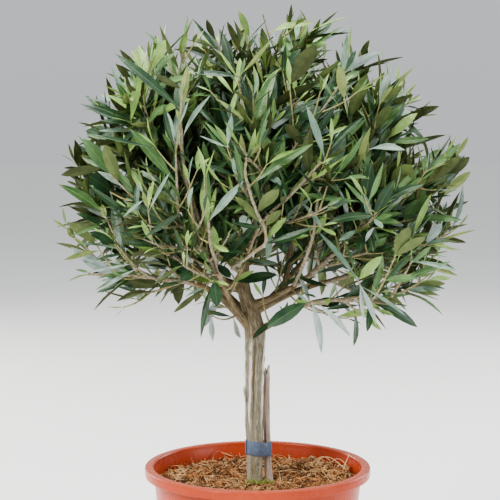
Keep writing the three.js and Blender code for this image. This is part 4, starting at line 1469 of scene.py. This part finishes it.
leaders = {}
for bough in BOUGHS:
    limb = limbs[bough.name]
    way = limb.way(1)
    start = limb.at(1) + way * LEADER_GAP
    end = start + heading(bough.azimuth + bough.turn, bough.climb) * bough.run
    eased = start + way * bough.run * STEM_EASE
    leaders[bough.name] = Limb(bend(start, eased, end), taper(bough.radii[1] * LEADER_ROOT, LEADER_RADIUS))
leader_lines = Lines([leader.at(np.linspace(0, 1, 6)) for leader in leaders.values()])
limb_lines = Lines([limb.at(np.linspace(0, 1, 9)) for limb in limbs.values()])
limb_radii = np.array([max(limb.radius_at(0.1), limb.radius_at(0.6)) for limb in limbs.values()])
box_low, box_high = (np.array(c) / MM for c in cad_box)


def in_box(points):
    return bool((points > box_low).all() and (points < box_high).all())


def in_space(points, number, apart, off_limbs, rim=1.0):
    """True where points are in a shoot's own space: in the crown, off the limbs, nearest its leader."""
    if crown_share(points).max() > rim or not in_box(points):
        return False
    away = leader_lines.away(points)
    own = away[:, number].copy()
    away[:, number] = np.inf
    if (away.min(1) < own + apart).any():
        return False
    return bool((limb_lines.away(points) > limb_radii + off_limbs).all())


Shoot = namedtuple("Shoot", "kind number limb seed rim apart")


def grow_twigs(number, bough):
    """The twigs of one leading shoot, in crossed pairs."""
    throw = dice(bough.seed)
    leader = leaders[bough.name]
    nodes = max(2, math.floor(bough.run / TWIG_EVERY + 0.5))
    first_turn = throw() * math.pi / 2
    for node in range(nodes):
        share = (node + FIRST_TWIG) / nodes
        point, way = leader.at(share), leader.way(share)
        for half in (0, 1):
            turn = first_turn + node * math.pi / 2 + half * math.pi + (throw() - 0.5) * TWIG_TURN_PLAY
            direction = sideways(way, turn, TWIG_SPREAD + (throw() - 0.5) * TWIG_SPREAD_PLAY)
            fullness = TWIG_REACH[0] + throw() * (TWIG_REACH[1] - TWIG_REACH[0])
            seed = math.floor(throw() * 1e6) + 1
            length = min(TWIG_LENGTH[1], (room_along(point, direction) - LEAF_ROOM) * fullness)
            for shorter in SHORTER:
                if length * shorter < TWIG_LENGTH[0]:
                    break
                twig = grown(point, direction, length * shorter, TWIG_LIFT, TWIG_RADII)
                if in_space(twig.at(np.linspace(0.25, 1, 7)), number, SPACE_MARGIN, TWIG_OFF_LIMBS):
                    yield Shoot("twig", number, twig, seed, 1.0, LEAF_BELOW)
                    break


def grow_fine(parent):
    """The finer twigs of a twig or leading shoot, by the same rule."""
    throw = dice(parent.seed + SEED_STEPS["fine"])
    nodes = math.floor(parent.limb.length / FINE_EVERY)
    for node in range(nodes):
        share = (node + FIRST_FINE) / (nodes + 0.5)
        point, way = parent.limb.at(share), parent.limb.way(share)
        for half in (0, 1):
            chosen = throw() < FINE_SHARE * (1 - low_down(point) * (1 - OPEN_SHARE))
            turn = throw() * FINE_TURN_PLAY + node * math.pi / 2 + half * math.pi + parent.seed
            spread = FINE_SPREAD + (throw() - 0.5) * FINE_SPREAD_PLAY
            longer = throw() * (FINE_LENGTH[1] - FINE_LENGTH[0]) * (FINE_LONG - FINE_LOSS * share)
            wish = FINE_LENGTH[0] + longer
            seed = math.floor(throw() * 1e6) + 1
            direction = sideways(way, turn, spread)
            rim = FINE_RIM + (1 - FINE_RIM) * throw()
            length = min(wish, room_along(point, direction) - LEAF_ROOM * FINE_LEAF_ROOM)
            if chosen and length > FINE_LENGTH[0]:
                twig = grown(point, direction, length, TWIG_LIFT, FINE_RADII)
                line = twig.at(np.linspace(0.3, 1, 5))
                if in_space(line, parent.number, FINE_CROSSING, FINE_OFF_LIMBS, rim):
                    yield Shoot("fine", parent.number, twig, seed, rim, LEAF_BELOW)


def grow_spurs(number, bough):
    """Short shoots straight out of a bough's old wood, which fill the inside of the crown."""
    throw = dice(bough.seed + SEED_STEPS["spur"])
    limb = limbs[bough.name]
    for spur in range(SPURS * 2):
        share = SPUR_LOW + (1 - SPUR_LOW) * (spur // 2 + throw()) / SPURS
        turn = throw() * 2 * math.pi
        spread = SPUR_SPREAD[0] + throw() * (SPUR_SPREAD[1] - SPUR_SPREAD[0])
        length = SPUR_LENGTH[0] + throw() * (SPUR_LENGTH[1] - SPUR_LENGTH[0])
        seed = math.floor(throw() * 1e6) + 1
        point = limb.at(share)
        direction = sideways(limb.way(share), turn, spread)
        if throw() < low_down(point) * (1 - OPEN_SHARE):
            continue
        root = point + direction * limb.radius_at(share) * SPUR_ROOT
        twig = grown(root, direction, length, TWIG_LIFT * SPUR_LIFT, FINE_RADII)
        if in_space(twig.at(np.linspace(0.45, 1, 4)), number, SPUR_CROSSING, SPUR_OFF_LIMBS):
            yield Shoot("spur", number, twig, seed, 1.0, SPUR_CROSSING)


def shown_shoot(shown):
    """A shoot whose places are listed. It starts on the limb that carries it."""
    x, y, z = limbs[shown.carrier].at(shown.at)
    places = (Station(z - SOIL_TOP / MM, x, y, shown.places[0].radius * 1.1), *shown.places)
    number = [bough.name for bough in BOUGHS].index(shown.carrier)
    limb = Limb(station_path(places), station_radius(places))
    return Shoot("shown", number, limb, shown.seed, 1.0, 2 * SPUR_CROSSING)


shoots = [shown_shoot(shown) for shown in SHOWN]
for number, bough in enumerate(BOUGHS):
    leader_seed = bough.seed + SEED_STEPS["leader"]
    shoots.append(Shoot("leader", number, leaders[bough.name], leader_seed, 1.0, LEAF_BELOW))
    shoots += list(grow_twigs(number, bough))
    shoots += list(grow_spurs(number, bough))
for parent in [shoot for shoot in shoots if shoot.kind in ("leader", "twig")]:
    shoots += list(grow_fine(parent))


def node_shares(shoot):
    """Where a shoot carries pairs of leaves, as shares of its length."""
    bare = BARE[shoot.kind]
    count = max(1, round(shoot.limb.length * (1 - bare) / NODE_EVERY))
    return bare + (LAST_NODE - bare) * np.arange(count + 1) / count


def twig_line(shoot):
    """A shoot's line in metres, slightly crooked, and its radius, thicker at the nodes."""
    limb = shoot.limb
    count = max(5, round(limb.length / TWIG_STEP))
    shares = np.linspace(0, 1, count + 1)
    points = limb.at(shares)
    at_noise = [Vector((share * limb.length * 0.05, shoot.seed * 0.37, 5)) for share in shares]
    crook = np.array([noise.noise_vector(place) for place in at_noise])
    points += crook * CROOK * np.minimum(shares * 6, 1)[:, None]
    if shoot.kind == "leader":
        points[0] -= limb.way(0) * LEADER_SINK
    along = np.abs(shares[:, None] - node_shares(shoot)[None]).min(1) * limb.length
    swell = 1 + NODE_SWELL * np.exp(-((along / NODE_WIDTH) ** 2))
    return points * MM, np.array([limb.radius_at(s) for s in shares]) * swell * MM


GROWTH = {"twigs_old": ("leader",), "twigs_middle": ("twig", "shown"), "twigs_young": ("fine", "spur")}
TWIG_TONES = {
    "twigs_old": ((0.16, 0.125, 0.08), (0.38, 0.33, 0.25), (0.27, 0.17, 0.07)),
    "twigs_middle": ((0.17, 0.145, 0.09), (0.44, 0.39, 0.28), (0.32, 0.23, 0.09)),
    "twigs_young": ((0.19, 0.17, 0.07), (0.4, 0.37, 0.19), (0.32, 0.27, 0.08)),
}
for name, kinds_of in GROWTH.items():
    dark, light, warm = TWIG_TONES[name]
    rind = Finish(name, light, 0.75)
    rind_tone = rind.patches(0.0022, 4, (0.35, dark), (0.62, light))
    rind.tint(rind.laid(rind_tone, warm, rind.mottle(0.007, 2), (0.5, 0.0), (0.68, 0.7)))
    rind.relief(rind.mottle(0.0011, 3), 0.00025)
    lines = wires("twig_lines", [twig_line(shoot) for shoot in shoots if shoot.kind in kinds_of])
    twigs = rods.make(name, lines, {"Sides": 8 if name == "twigs_old" else 6, "Material": rind.material})
    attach(twigs, "root")


# ---------------------------------------------------------------- leaves
# Narrow leathery leaves in pairs, dark waxy green above and silvery below, with a pale rib and a short
# yellow stalk. They are smaller and paler towards the tip of each shoot, where the last pair stands up.
# Most undersides are laid darker than their own pale silver-khaki, as painted shade; some upper faces
# take a pale blue-grey as painted sheen; and high in the crown more leaves take the young tone, partly
# as painted light.
LEAF_LENGTH = (31, 64)
LEAF_ANGLE = 54  # degrees off the twig
CLOSER = (1, 0.78, 0.56)  # a leaf that wouldn't fit is tried again at these shares of its angle
LEAF_ANGLE_PLAY = 18
LEAF_CLOSER = 22  # how much closer the leaves stand at a shoot's tip
LEAF_TURN_PLAY = 0.5
LAST_ANGLES = (16, 10)  # of the last pair of a shoot: the least, and how much is thrown on to it
LAST_LENGTH = 0.62  # beside the others
YOUNG_LENGTH = 0.3  # how much shorter the youngest leaves are
YOUNG_POWERS = (6, 3)  # how late along a leading shoot, and any other, the leaves turn young
SHOOT_SIZES = (0.85, 0.25)  # a shoot's own share of the leaves' length, least and thrown on to it
LEAF_WIDTHS = (0.85, 0.35)  # the same for each leaf's width
YOUNG_SHARES = (0.6, 0.4)  # how many leaves are young-toned: of the last pairs, and of the young ones
# above this throw a leaf takes the silver tone, whose pale blue-grey upper face is painted sheen
SILVER_SHEEN_FROM = 0.92
TONE_PLAY = 0.7  # how far leaves of one spray differ in tone
LEAF_APART = 2.2  # no leaf's outer half lies nearer than this to another leaf
LEAF_OFF_LIMBS = 1.0
LOW_LENGTH = 0.8  # length of the leaves at the crown's underside beside the others
TOP_YOUTH_AND_LIGHT = ((290, 380), (0, 0.6))  # heights, and how much younger the leaves there are, partly as painted light
CLEAR = 3.6  # seen from the front, no other leaf's middle hangs this near before a shown shoot
LEAF_CLEAR = 2.5  # nor its edge this near before a listed leaf
VEILED = 0.15  # share of the slender leaves that may hang before the boughs
SHOWN_BOUGHS = ("left_low", "left_high", "front_left", "right_mid", "right_far", "right_low")
TURNED_ALONG = 0.7  # how far the upper faces turn along the twig, to the sky, and off the crown's core
TURNED_UP = 0.5
TURNED_OUT = 0.75
LEVEL_OUT = (1, 1, 0.3)  # the way off the core is taken flatter
CROWN_CORE = np.array((CROWN["x"], CROWN["y"], SOIL_TOP / MM + 0.8 * CROWN["height"]))
STALK = 0.07  # share of the leaf's length, as the next ones are
STALK_HALF = 0.012
LEAF_STATIONS = (0, STALK, 0.16, 0.32, 0.5, 0.68, 0.86, 1)
LEAF_THICK = 0.011
RIB_WIDTH = 0.0035
# shape: width over length, place of the widest part, how far folded, curled down, bowed aside and twisted
LeafShape = namedtuple("LeafShape", "width widest fold curl bow twist blunt")
LEAF_SHAPES = (
    LeafShape(0.165, 0.54, 0.3, 0.06, 0.0, 0, 0.9),
    LeafShape(0.2, 0.57, 0.2, 0.15, 0.02, 10, 0.8),
    LeafShape(0.145, 0.5, 0.35, -0.05, -0.04, -12, 0.95),
    LeafShape(0.125, 0.55, 0.5, 0.1, 0.05, 25, 1.0),
    LeafShape(0.32, 0.55, 0.15, 0.08, 0.0, -6, 0.66),
    LeafShape(0.21, 0.56, 0.25, 0.02, -0.02, 35, 0.8),
)
OVAL = 4
OVAL_FROM = 0.84  # the throw above which a leaf is an oval one
OVAL_LENGTH = 0.75  # beside the others
SLENDER = (0, 1, 2, 3, 5)
# Leaves listed one by one where they show most from the front, by tone and by the side that shows.
# Each has its root and its tip, as millimetres to the right of the pot's middle and over the coir, and its
# width in hundredths of its length. They are laid out on one upright plane, the front plane, and each then
# moves along the line of sight to the wood that it springs from.
FRONT_PLANE = -70
FRONT_LEAVES = {
    ("leaves_deep", "upper"): (
        (-66, 327, -113, 380, 15), (-111, 319, -146, 338, 16), (-91, 294, -140, 314, 9),
        (-126, 258, -139, 277, 60), (-124, 226, -139, 230, 30), (-109, 213, -136, 206, 17),
        (-76, 209, -77, 232, 25), (-22, 380, -52, 406, 14), (-9, 355, -51, 364, 18),
        (19, 321, 57, 343, 11), (20, 367, 34, 380, 32), (108, 250, 136, 270, 20), (98, 238, 112, 272, 25),
        (34, 163, 7, 151, 30), (10, 152, -5, 139, 20), (-27, 188, -34, 168, 48), (-53, 196, -64, 190, 60),
        (-33, 202, -23, 192, 45), (33, 189, 59, 183, 18), (-8, 183, 15, 195, 28), (7, 215, 48, 233, 18),
        (-14, 203, 16, 203, 13), (0, 228, -22, 239, 20), (-31, 317, -10, 316, 26), (55, 238, 97, 245, 17),
        (-36, 178, -48, 140, 11), (-101, 230, -65, 245, 12), (10, 371, 23, 382, 16),
        (-48, 282, -68, 297, 18), (-30, 214, -18, 230, 20), (65, 214, 78, 238, 16),
        (50, 259, 32, 282, 15),
    ),
    ("leaves_mid", "upper"): (
        (-67, 268, -102, 317, 19), (-127, 276, -143, 307, 32), (-131, 243, -166, 268, 20),
        (-131, 234, -156, 227, 12), (72, 326, 52, 360, 13), (128, 286, 167, 303, 17),
        (106, 303, 141, 307, 16), (118, 243, 138, 265, 40), (123, 243, 168, 243, 16),
        (102, 189, 131, 192, 30), (30, 262, 84, 253, 12), (86, 193, 66, 234, 9), (-13, 272, -47, 321, 12),
        (-5, 266, 42, 305, 12), (3, 252, -7, 286, 15), (-63, 252, -75, 274, 18),
    ),
    # their pale blue-grey upper faces are painted sheen
    ("leaves_silver", "upper"): (
        (-121, 246, -96, 256, 14), (-99, 247, -98, 277, 13), (-90, 246, -75, 278, 8),
        (76, 355, 74, 391, 17), (92, 296, 121, 299, 22), (32, 254, 55, 233, 14), (78, 198, 55, 230, 12),
        (93, 188, 125, 162, 7), (129, 212, 166, 200, 11), (138, 220, 162, 223, 14),
        (55, 290, 41, 334, 15), (-39, 239, -13, 272, 16),
    ),
    ("leaves_silver", "under"): (
        (-94, 204, -132, 182, 12), (-105, 207, -146, 194, 9), (-77, 198, -87, 188, 14),
        (82, 360, 102, 377, 22), (101, 336, 111, 364, 20), (40, 157, 53, 127, 15), (52, 162, 78, 141, 19),
        (81, 183, 99, 151, 15), (78, 182, 88, 155, 12), (-38, 168, -38, 137, 20),
        (140, 228, 152, 238, 34), (33, 189, 43, 170, 15),
    ),
    ("leaves_young", "upper"): (
        (-103, 319, -97, 360, 17), (-77, 362, -77, 387, 33), (-11, 392, -15, 411, 28),
        (3, 390, 44, 403, 19), (77, 357, 76, 399, 9), (-42, 241, -46, 264, 28), (-10, 287, -2, 316, 16),
        (87, 193, 102, 209, 30), (-31, 256, -24, 277, 13), (-56, 369, -58, 395, 24),
        (-43, 381, -51, 393, 28), (3, 366, 0, 390, 18), (138, 228, 143, 260, 13),
        (117, 314, 130, 328, 28),
    ),
    ("leaves_young", "under"): (
        (-11, 288, -14, 310, 20), (-9, 288, 7, 306, 22), (74, 336, 66, 368, 25),
        (-131, 216, -162, 207, 18), (86, 338, 110, 362, 10), (141, 224, 182, 233, 7),
        (-59, 329, -58, 368, 17), (-10, 363, 11, 390, 12),
    ),
    ("leaves_mid", "under"): (
        (-116, 270, -127, 302, 31), (-134, 223, -158, 239, 28), (77, 321, 89, 361, 28),
        (89, 314, 109, 335, 32), (103, 336, 119, 351, 28), (-1, 248, 17, 266, 38), (8, 233, 19, 249, 30),
        (4, 232, -20, 262, 17), (115, 216, 125, 235, 38), (120, 213, 139, 227, 28),
        (41, 355, 66, 373, 16), (-54, 363, -37, 385, 14),
    ),
    ("leaves_deep", "under"): (
        (27, 352, 47, 385, 36), (15, 334, 49, 353, 24), (37, 301, 22, 320, 34), (39, 278, 44, 315, 24),
        (-141, 276, -164, 278, 27), (-67, 346, -85, 360, 20), (-49, 178, -71, 162, 12),
        (-66, 195, -87, 186, 12), (36, 185, 32, 164, 34),
    ),
}
FRONT_WOOD = -115  # they spring from wood that lies no further back, where there is any
BEHIND_WEIGHT = 0.16  # how much what lies behind it counts as far from a leaf's root
TIP_FORWARD = 12  # how far a tip comes to the front of its root
UPPER_FACES = {"upper": np.array((0.15, -0.8, 0.6)), "under": np.array((-0.1, 0.85, 0.5))}
BROAD = 24  # hundredths: a leaf wider than this is an oval one


def leaf_kind(number, shape):
    """A leaf one metre long lying along X, upper face to +Z: a thin closed blade with a raised rib."""
    peak = math.log(0.5) / math.log((shape.widest - STALK) / (1 - STALK))
    rows = []
    for s in LEAF_STATIONS:
        blade = max(0.0, (s - STALK) / (1 - STALK))
        bulge = max(math.sin(math.pi * blade**peak), 0) ** shape.blunt if 0 < blade < 1 else 0
        half = max(0.5 * shape.width * bulge, STALK_HALF if s <= STALK else 0.0)
        thick = LEAF_THICK * (1.6 if s <= STALK else 1)
        turn = math.radians(shape.twist) * s
        middle = Vector((s, shape.bow * math.sin(math.pi * s), -shape.curl * s * s))
        across = Vector((0, math.cos(turn), math.sin(turn)))
        over = Vector((0, -math.sin(turn), math.cos(turn)))
        rib = min(RIB_WIDTH, half * 0.5)
        rise = shape.fold * half if s > STALK else 0
        rows.append({
            "left": middle + across * half + over * rise,
            "right": middle - across * half + over * rise,
            "rib_left": middle + across * rib + over * (0.5 * thick + shape.fold * rib * 0.5),
            "rib_right": middle - across * rib + over * (0.5 * thick + shape.fold * rib * 0.5),
            "under": middle - over * 0.5 * thick,
        })
    made = bmesh.new()
    grid = [{key: made.verts.new(p) for key, p in row.items()} for row in rows[:-1]]
    tip = made.verts.new(rows[-1]["under"] + Vector((0, 0, 0.5 * LEAF_THICK)))
    under_faces, rib_faces = [], []
    round_it = ("left", "rib_left", "rib_right", "right", "under", "left")
    strips = tuple(zip(round_it, round_it[1:]))
    for at, row in enumerate(grid):
        following = grid[at + 1] if at + 1 < len(grid) else None
        for a, b in strips:
            corners = [row[a], row[b], following[b], following[a]] if following else [row[a], row[b], tip]
            face = made.faces.new(corners)
            if a == "rib_left" or LEAF_STATIONS[at] < STALK:
                rib_faces.append(face)
            elif "under" in (a, b):
                under_faces.append(face)
    made.faces.new([grid[0][key] for key in reversed(round_it[:-1])])
    bmesh.ops.recalc_face_normals(made, faces=made.faces)
    for edge in made.edges:
        rim = [vert for vert in edge.verts if any(vert in (row["left"], row["right"]) for row in grid)]
        edge.smooth = len(rim) < 2
    made.faces.index_update()
    marks = {"under": {f.index for f in under_faces}, "rib": {f.index for f in rib_faces}}
    leaf = poured(f"leaf_{number}", made)
    for name, chosen in marks.items():
        layer = leaf.data.attributes.new(name, "BOOLEAN", "FACE")
        layer.data.foreach_set("value", [i in chosen for i in range(len(leaf.data.polygons))])
    return leaf


foliage = Tree("foliage")
leaf_kinds = foliage.input("Kinds", "Collection")
leaf_paints = [foliage.input(name, "Material") for name in ("Upper", "Under", "Rib")]
hung_leaves = foliage.hung(
    foliage.start.outputs["Geometry"],
    leaf_kinds,
    foliage.attribute("shape", "INT"),
    foliage.attribute("turned", "FLOAT_VECTOR"),
    foliage.attribute("size", "FLOAT_VECTOR"),
)
foliage.finish(
    hung_leaves,
    [
        (leaf_paints[0], None),
        (leaf_paints[1], foliage.attribute("under", "BOOLEAN")),
        (leaf_paints[2], foliage.attribute("rib", "BOOLEAN")),
    ],
)

Leaf = namedtuple("Leaf", "tone root turned size shape")
taken = {}


def cell(point):
    return tuple((point // LEAF_APART).astype(int))


def crowded(points):
    """True where a leaf's outer half would lie on a leaf that hangs already."""
    return any(cell(p) in taken for p in points)


def seen(points):
    """Where points stand as seen from the front: across and up, over the distance."""
    off = points - np.array(EYE) / MM
    return off[..., [0, 2]] / off[..., 1:2]


def stretches_of(lines):
    """Short stretches of lines as seen from the front, and how far back each one lies."""
    pieces = np.concatenate([np.stack((line[:-1], line[1:]), axis=1) for line in lines])
    return Lines(seen(pieces)), pieces[:, :, 1].mean(1)


def hides(points, stretches, clear):
    """True where a point hangs before one of the stretches, or less than clear beside it."""
    lines, back = stretches
    near = lines.away(seen(points)) < clear * MM / -EYE[1]
    return bool((near & (points[:, 1:2] < back)).any())


shown_parts = stretches_of([shoot.limb.at(np.linspace(0, 0.85, 12)) for shoot in shoots[: len(SHOWN)]])
bough_lines = [limbs[name].at(np.linspace(0, 1, 7)) for name in SHOWN_BOUGHS]
bough_lines += [leaders[name].at(np.linspace(0, 0.5, 5)) for name in SHOWN_BOUGHS]
bough_parts = stretches_of([*bough_lines, limbs["trunk"].at(np.linspace(0.6, 1, 6))])


def turned(along, across, upper):
    """How a leaf that lies along X, face up, turns to lie along these three directions."""
    return np.array(Matrix((along, across, upper)).transposed().to_euler("XYZ"))


def hang_leaf(shoot, point, way, turn, spread, length, shape, wide, veiled, last):
    """One leaf, tried closer to its twig until it fits. None where it never does."""
    for closer in CLOSER:
        direction = sideways(way, turn, spread * closer)
        outward = unit((point - CROWN_CORE) * LEVEL_OUT)
        upper = TURNED_ALONG * way + TURNED_UP * UP + TURNED_OUT * outward
        upper = unit(upper - direction * upper.dot(direction))
        across = np.cross(upper, direction)
        half = 0.5 * length * LEAF_SHAPES[shape].width * wide
        shares = np.linspace(0.2, 1, 5)
        drop = -LEAF_SHAPES[shape].curl * length * shares**2
        middle = point + np.outer(shares * length, direction) + np.outer(drop, upper)
        rims = [middle[1:4] + across * half, middle[1:4] - across * half]
        outline = np.concatenate((middle, *rims))
        spine = point + np.outer(np.linspace(0.12, 1, 12) * length, direction)
        if last:
            fits = in_box(outline)
        elif hides(spine, shown_parts, CLEAR) or hides(spine, leaf_parts, LEAF_CLEAR + half):
            fits = False
        elif not veiled and hides(spine, bough_parts, CLEAR):
            fits = False
        else:
            fits = in_space(outline, shoot.number, shoot.apart, LEAF_OFF_LIMBS, shoot.rim)
            fits = fits and not crowded(middle[2:])
        if fits:
            for p in np.concatenate((middle[1:], *rims)):
                taken[cell(p)] = True
            return turned(direction, across, upper), np.array((length, length * wide, length))
    return None


wood_places = [shoot.limb.at(np.linspace(0.15, 1, 10)) for shoot in shoots]
wood_places = np.concatenate(wood_places + [limb.at(np.linspace(0.2, 1, 20)) for limb in limbs.values()])
behind = np.maximum(0, wood_places[:, 1] - FRONT_WOOD) * BEHIND_WEIGHT


def along_sight(x, height, back):
    """The place, that far back, which hides behind a place of the front plane."""
    eye = np.array(EYE) / MM
    way = np.array((x, FRONT_PLANE, SOIL_TOP / MM + height)) - eye
    return eye + way * (back - eye[1]) / way[1]


def front_leaf(tone, side, x, height, tip_x, tip_height, width):
    """A listed leaf. It springs from the wood that stands nearest its root as seen from the front."""
    off = seen(wood_places) - seen(along_sight(x, height, FRONT_PLANE))
    off = np.linalg.norm(off, axis=1) * (FRONT_PLANE - EYE[1] / MM)
    root = wood_places[np.hypot(off, behind).argmin()]
    tip = np.clip(along_sight(tip_x, tip_height, root[1] - TIP_FORWARD), box_low + 1, box_high - 1)
    length = np.linalg.norm(tip - root)
    direction = (tip - root) / length
    upper = unit(UPPER_FACES[side] - direction * UPPER_FACES[side].dot(direction))
    for p in root + np.outer(np.linspace(0.2, 1, 9) * length, direction):
        taken[cell(p)] = True
    shape = OVAL if width > BROAD else SLENDER[(x + height) % len(SLENDER)]
    size = np.array((length, length * width / 100 / LEAF_SHAPES[shape].width, length))
    return Leaf(tone, root, turned(direction, np.cross(upper, direction), upper), size, shape)


def stretch_of(leaf):
    """The middle line of a hung leaf."""
    direction = np.array(Euler(leaf.turned).to_matrix().col[0])
    return leaf.root + np.outer(np.linspace(0.2, 0.95, 4) * leaf.size[0], direction)


front_leaves = [front_leaf(*key, *place) for key, places in FRONT_LEAVES.items() for place in places]
leaf_parts = stretches_of([stretch_of(leaf) for leaf in front_leaves])


def leafy(shoot):
    """The leaves of one shoot, pair after pair, and the small upright pair at its tip."""
    throw = dice(shoot.seed)
    limb = shoot.limb
    shares = node_shares(shoot)
    first_turn = throw() * math.pi
    spray = throw()
    bigness = SHOOT_SIZES[0] + SHOOT_SIZES[1] * throw()
    for node, share in enumerate(shares):
        last = node == len(shares) - 1
        young = share ** YOUNG_POWERS[shoot.kind != "leader"]
        for half in (0, 1):
            turn = first_turn + node * math.pi / 2 + half * math.pi + (throw() - 0.5) * LEAF_TURN_PLAY
            spread = LEAF_ANGLE - LEAF_CLOSER * share + (throw() - 0.5) * LEAF_ANGLE_PLAY
            length = LEAF_LENGTH[0] + throw() * (LEAF_LENGTH[1] - LEAF_LENGTH[0])
            length *= bigness * (1 - YOUNG_LENGTH * young)
            pick, wide, tone_chance = throw(), LEAF_WIDTHS[0] + throw() * LEAF_WIDTHS[1], throw()
            root = limb.at(share) - limb.way(share) * 0.2
            low = low_down(root)
            # the crown's top takes more of the young tone: partly young growth, partly painted light
            youth_and_top_light = max(young, np.interp(root[2] - SOIL_TOP / MM, *TOP_YOUTH_AND_LIGHT))
            length *= 1 - low * (1 - LOW_LENGTH)
            oval = pick > OVAL_FROM and not last
            left_out = throw() < low * (1 - OPEN_SHARE)
            veiled = throw() < VEILED and not oval
            if left_out and not last:
                continue
            if last:
                spread, length = LAST_ANGLES[0] + LAST_ANGLES[1] * pick, length * LAST_LENGTH
            shape = OVAL if oval else SLENDER[int(pick / OVAL_FROM * len(SLENDER)) % len(SLENDER)]
            if oval:
                length *= OVAL_LENGTH
            tone = leaf_tone(spray, youth_and_top_light, tone_chance, last)
            leaf_wish = (turn, spread, length, shape, wide, veiled, last)
            hung_leaf = hang_leaf(shoot, root, limb.way(share), *leaf_wish)
            if hung_leaf:
                yield Leaf(tone, root, *hung_leaf, shape)


def leaf_tone(spray, young, chance, last):
    if chance < (YOUNG_SHARES[0] if last else YOUNG_SHARES[1] * young):
        return "leaves_young"
    # the silver tone's upper face is painted sheen
    if chance > SILVER_SHEEN_FROM:
        return "leaves_silver"
    return "leaves_deep" if spray + TONE_PLAY * chance < 1.0 else "leaves_mid"


# each tone: its upper face dark and light, its underside dark and light, its rib and stalk. The deep, mid
# and young undersides are laid darker than the leaves' own pale khaki, as painted shade.
LEAF_TONES = {
    "leaves_deep": (
        (0.01, 0.038, 0.014),
        (0.031, 0.082, 0.03),
        (0.042, 0.058, 0.014),
        (0.092, 0.112, 0.033),
        (0.14, 0.22, 0.09),
    ),
    "leaves_mid": (
        (0.056, 0.132, 0.042),
        (0.13, 0.24, 0.085),
        (0.085, 0.118, 0.032),
        (0.15, 0.197, 0.063),
        (0.3, 0.4, 0.17),
    ),
    # upper face: pale blue-grey painted sheen; underside: the leaf's own silver
    "leaves_silver": (
        (0.135, 0.23, 0.165),
        (0.29, 0.41, 0.32),
        (0.24, 0.31, 0.275),
        (0.42, 0.5, 0.48),
        (0.4, 0.5, 0.4),
    ),
    "leaves_young": (
        (0.155, 0.28, 0.06),
        (0.32, 0.48, 0.15),
        (0.2, 0.26, 0.08),
        (0.32, 0.37, 0.14),
        (0.46, 0.52, 0.2),
    ),
}

hanging = front_leaves + [leaf for shoot in shoots for leaf in leafy(shoot)]
kinds_group = kept_apart("leaf_kinds", [leaf_kind(i, shape) for i, shape in enumerate(LEAF_SHAPES)])
for name, (upper_dark, upper_light, under_dark, under_light, rib_colour) in LEAF_TONES.items():
    chosen = [leaf for leaf in hanging if leaf.tone == name]
    upper = Finish(f"{name}_upper", upper_light, 0.34, Specular_IOR_Level=0.5)
    upper.tint(upper.patches(0.012, 3, (0.32, upper_dark), (0.68, upper_light)))
    upper.relief(upper.mottle(0.0014, 3), 0.0003)
    # the underside colours hold painted shade
    under = Finish(f"{name}_under", under_light, 0.7)
    under.tint(under.patches(0.01, 3, (0.32, under_dark), (0.68, under_light)))
    under.relief(under.mottle(0.001, 2), 0.0002)
    rib = Finish(f"{name}_rib", rib_colour, 0.55)
    rib.tint(rib.patches(0.004, 2, (0.3, tuple(0.75 * c for c in rib_colour)), (0.7, rib_colour)))
    mesh = bpy.data.meshes.new(name)
    mesh.from_pydata([tuple(leaf.root * MM) for leaf in chosen], [], [])
    roots = new_object(name, mesh)
    measure(roots, "turned", [leaf.turned for leaf in chosen])
    measure(roots, "size", [leaf.size * MM for leaf in chosen])
    measure(roots, "shape", [leaf.shape for leaf in chosen])
    paints = {"Upper": upper.material, "Under": under.material, "Rib": rib.material}
    leaves = foliage.make(name, roots, {"Kinds": kinds_group, **paints})
    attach(leaves, "root")
    if name == "leaves_deep":
        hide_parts(*[f"foliage_{bough.name}" for bough in BOUGHS])
cleared(kinds_group)


bpy.context.view_layer.update()
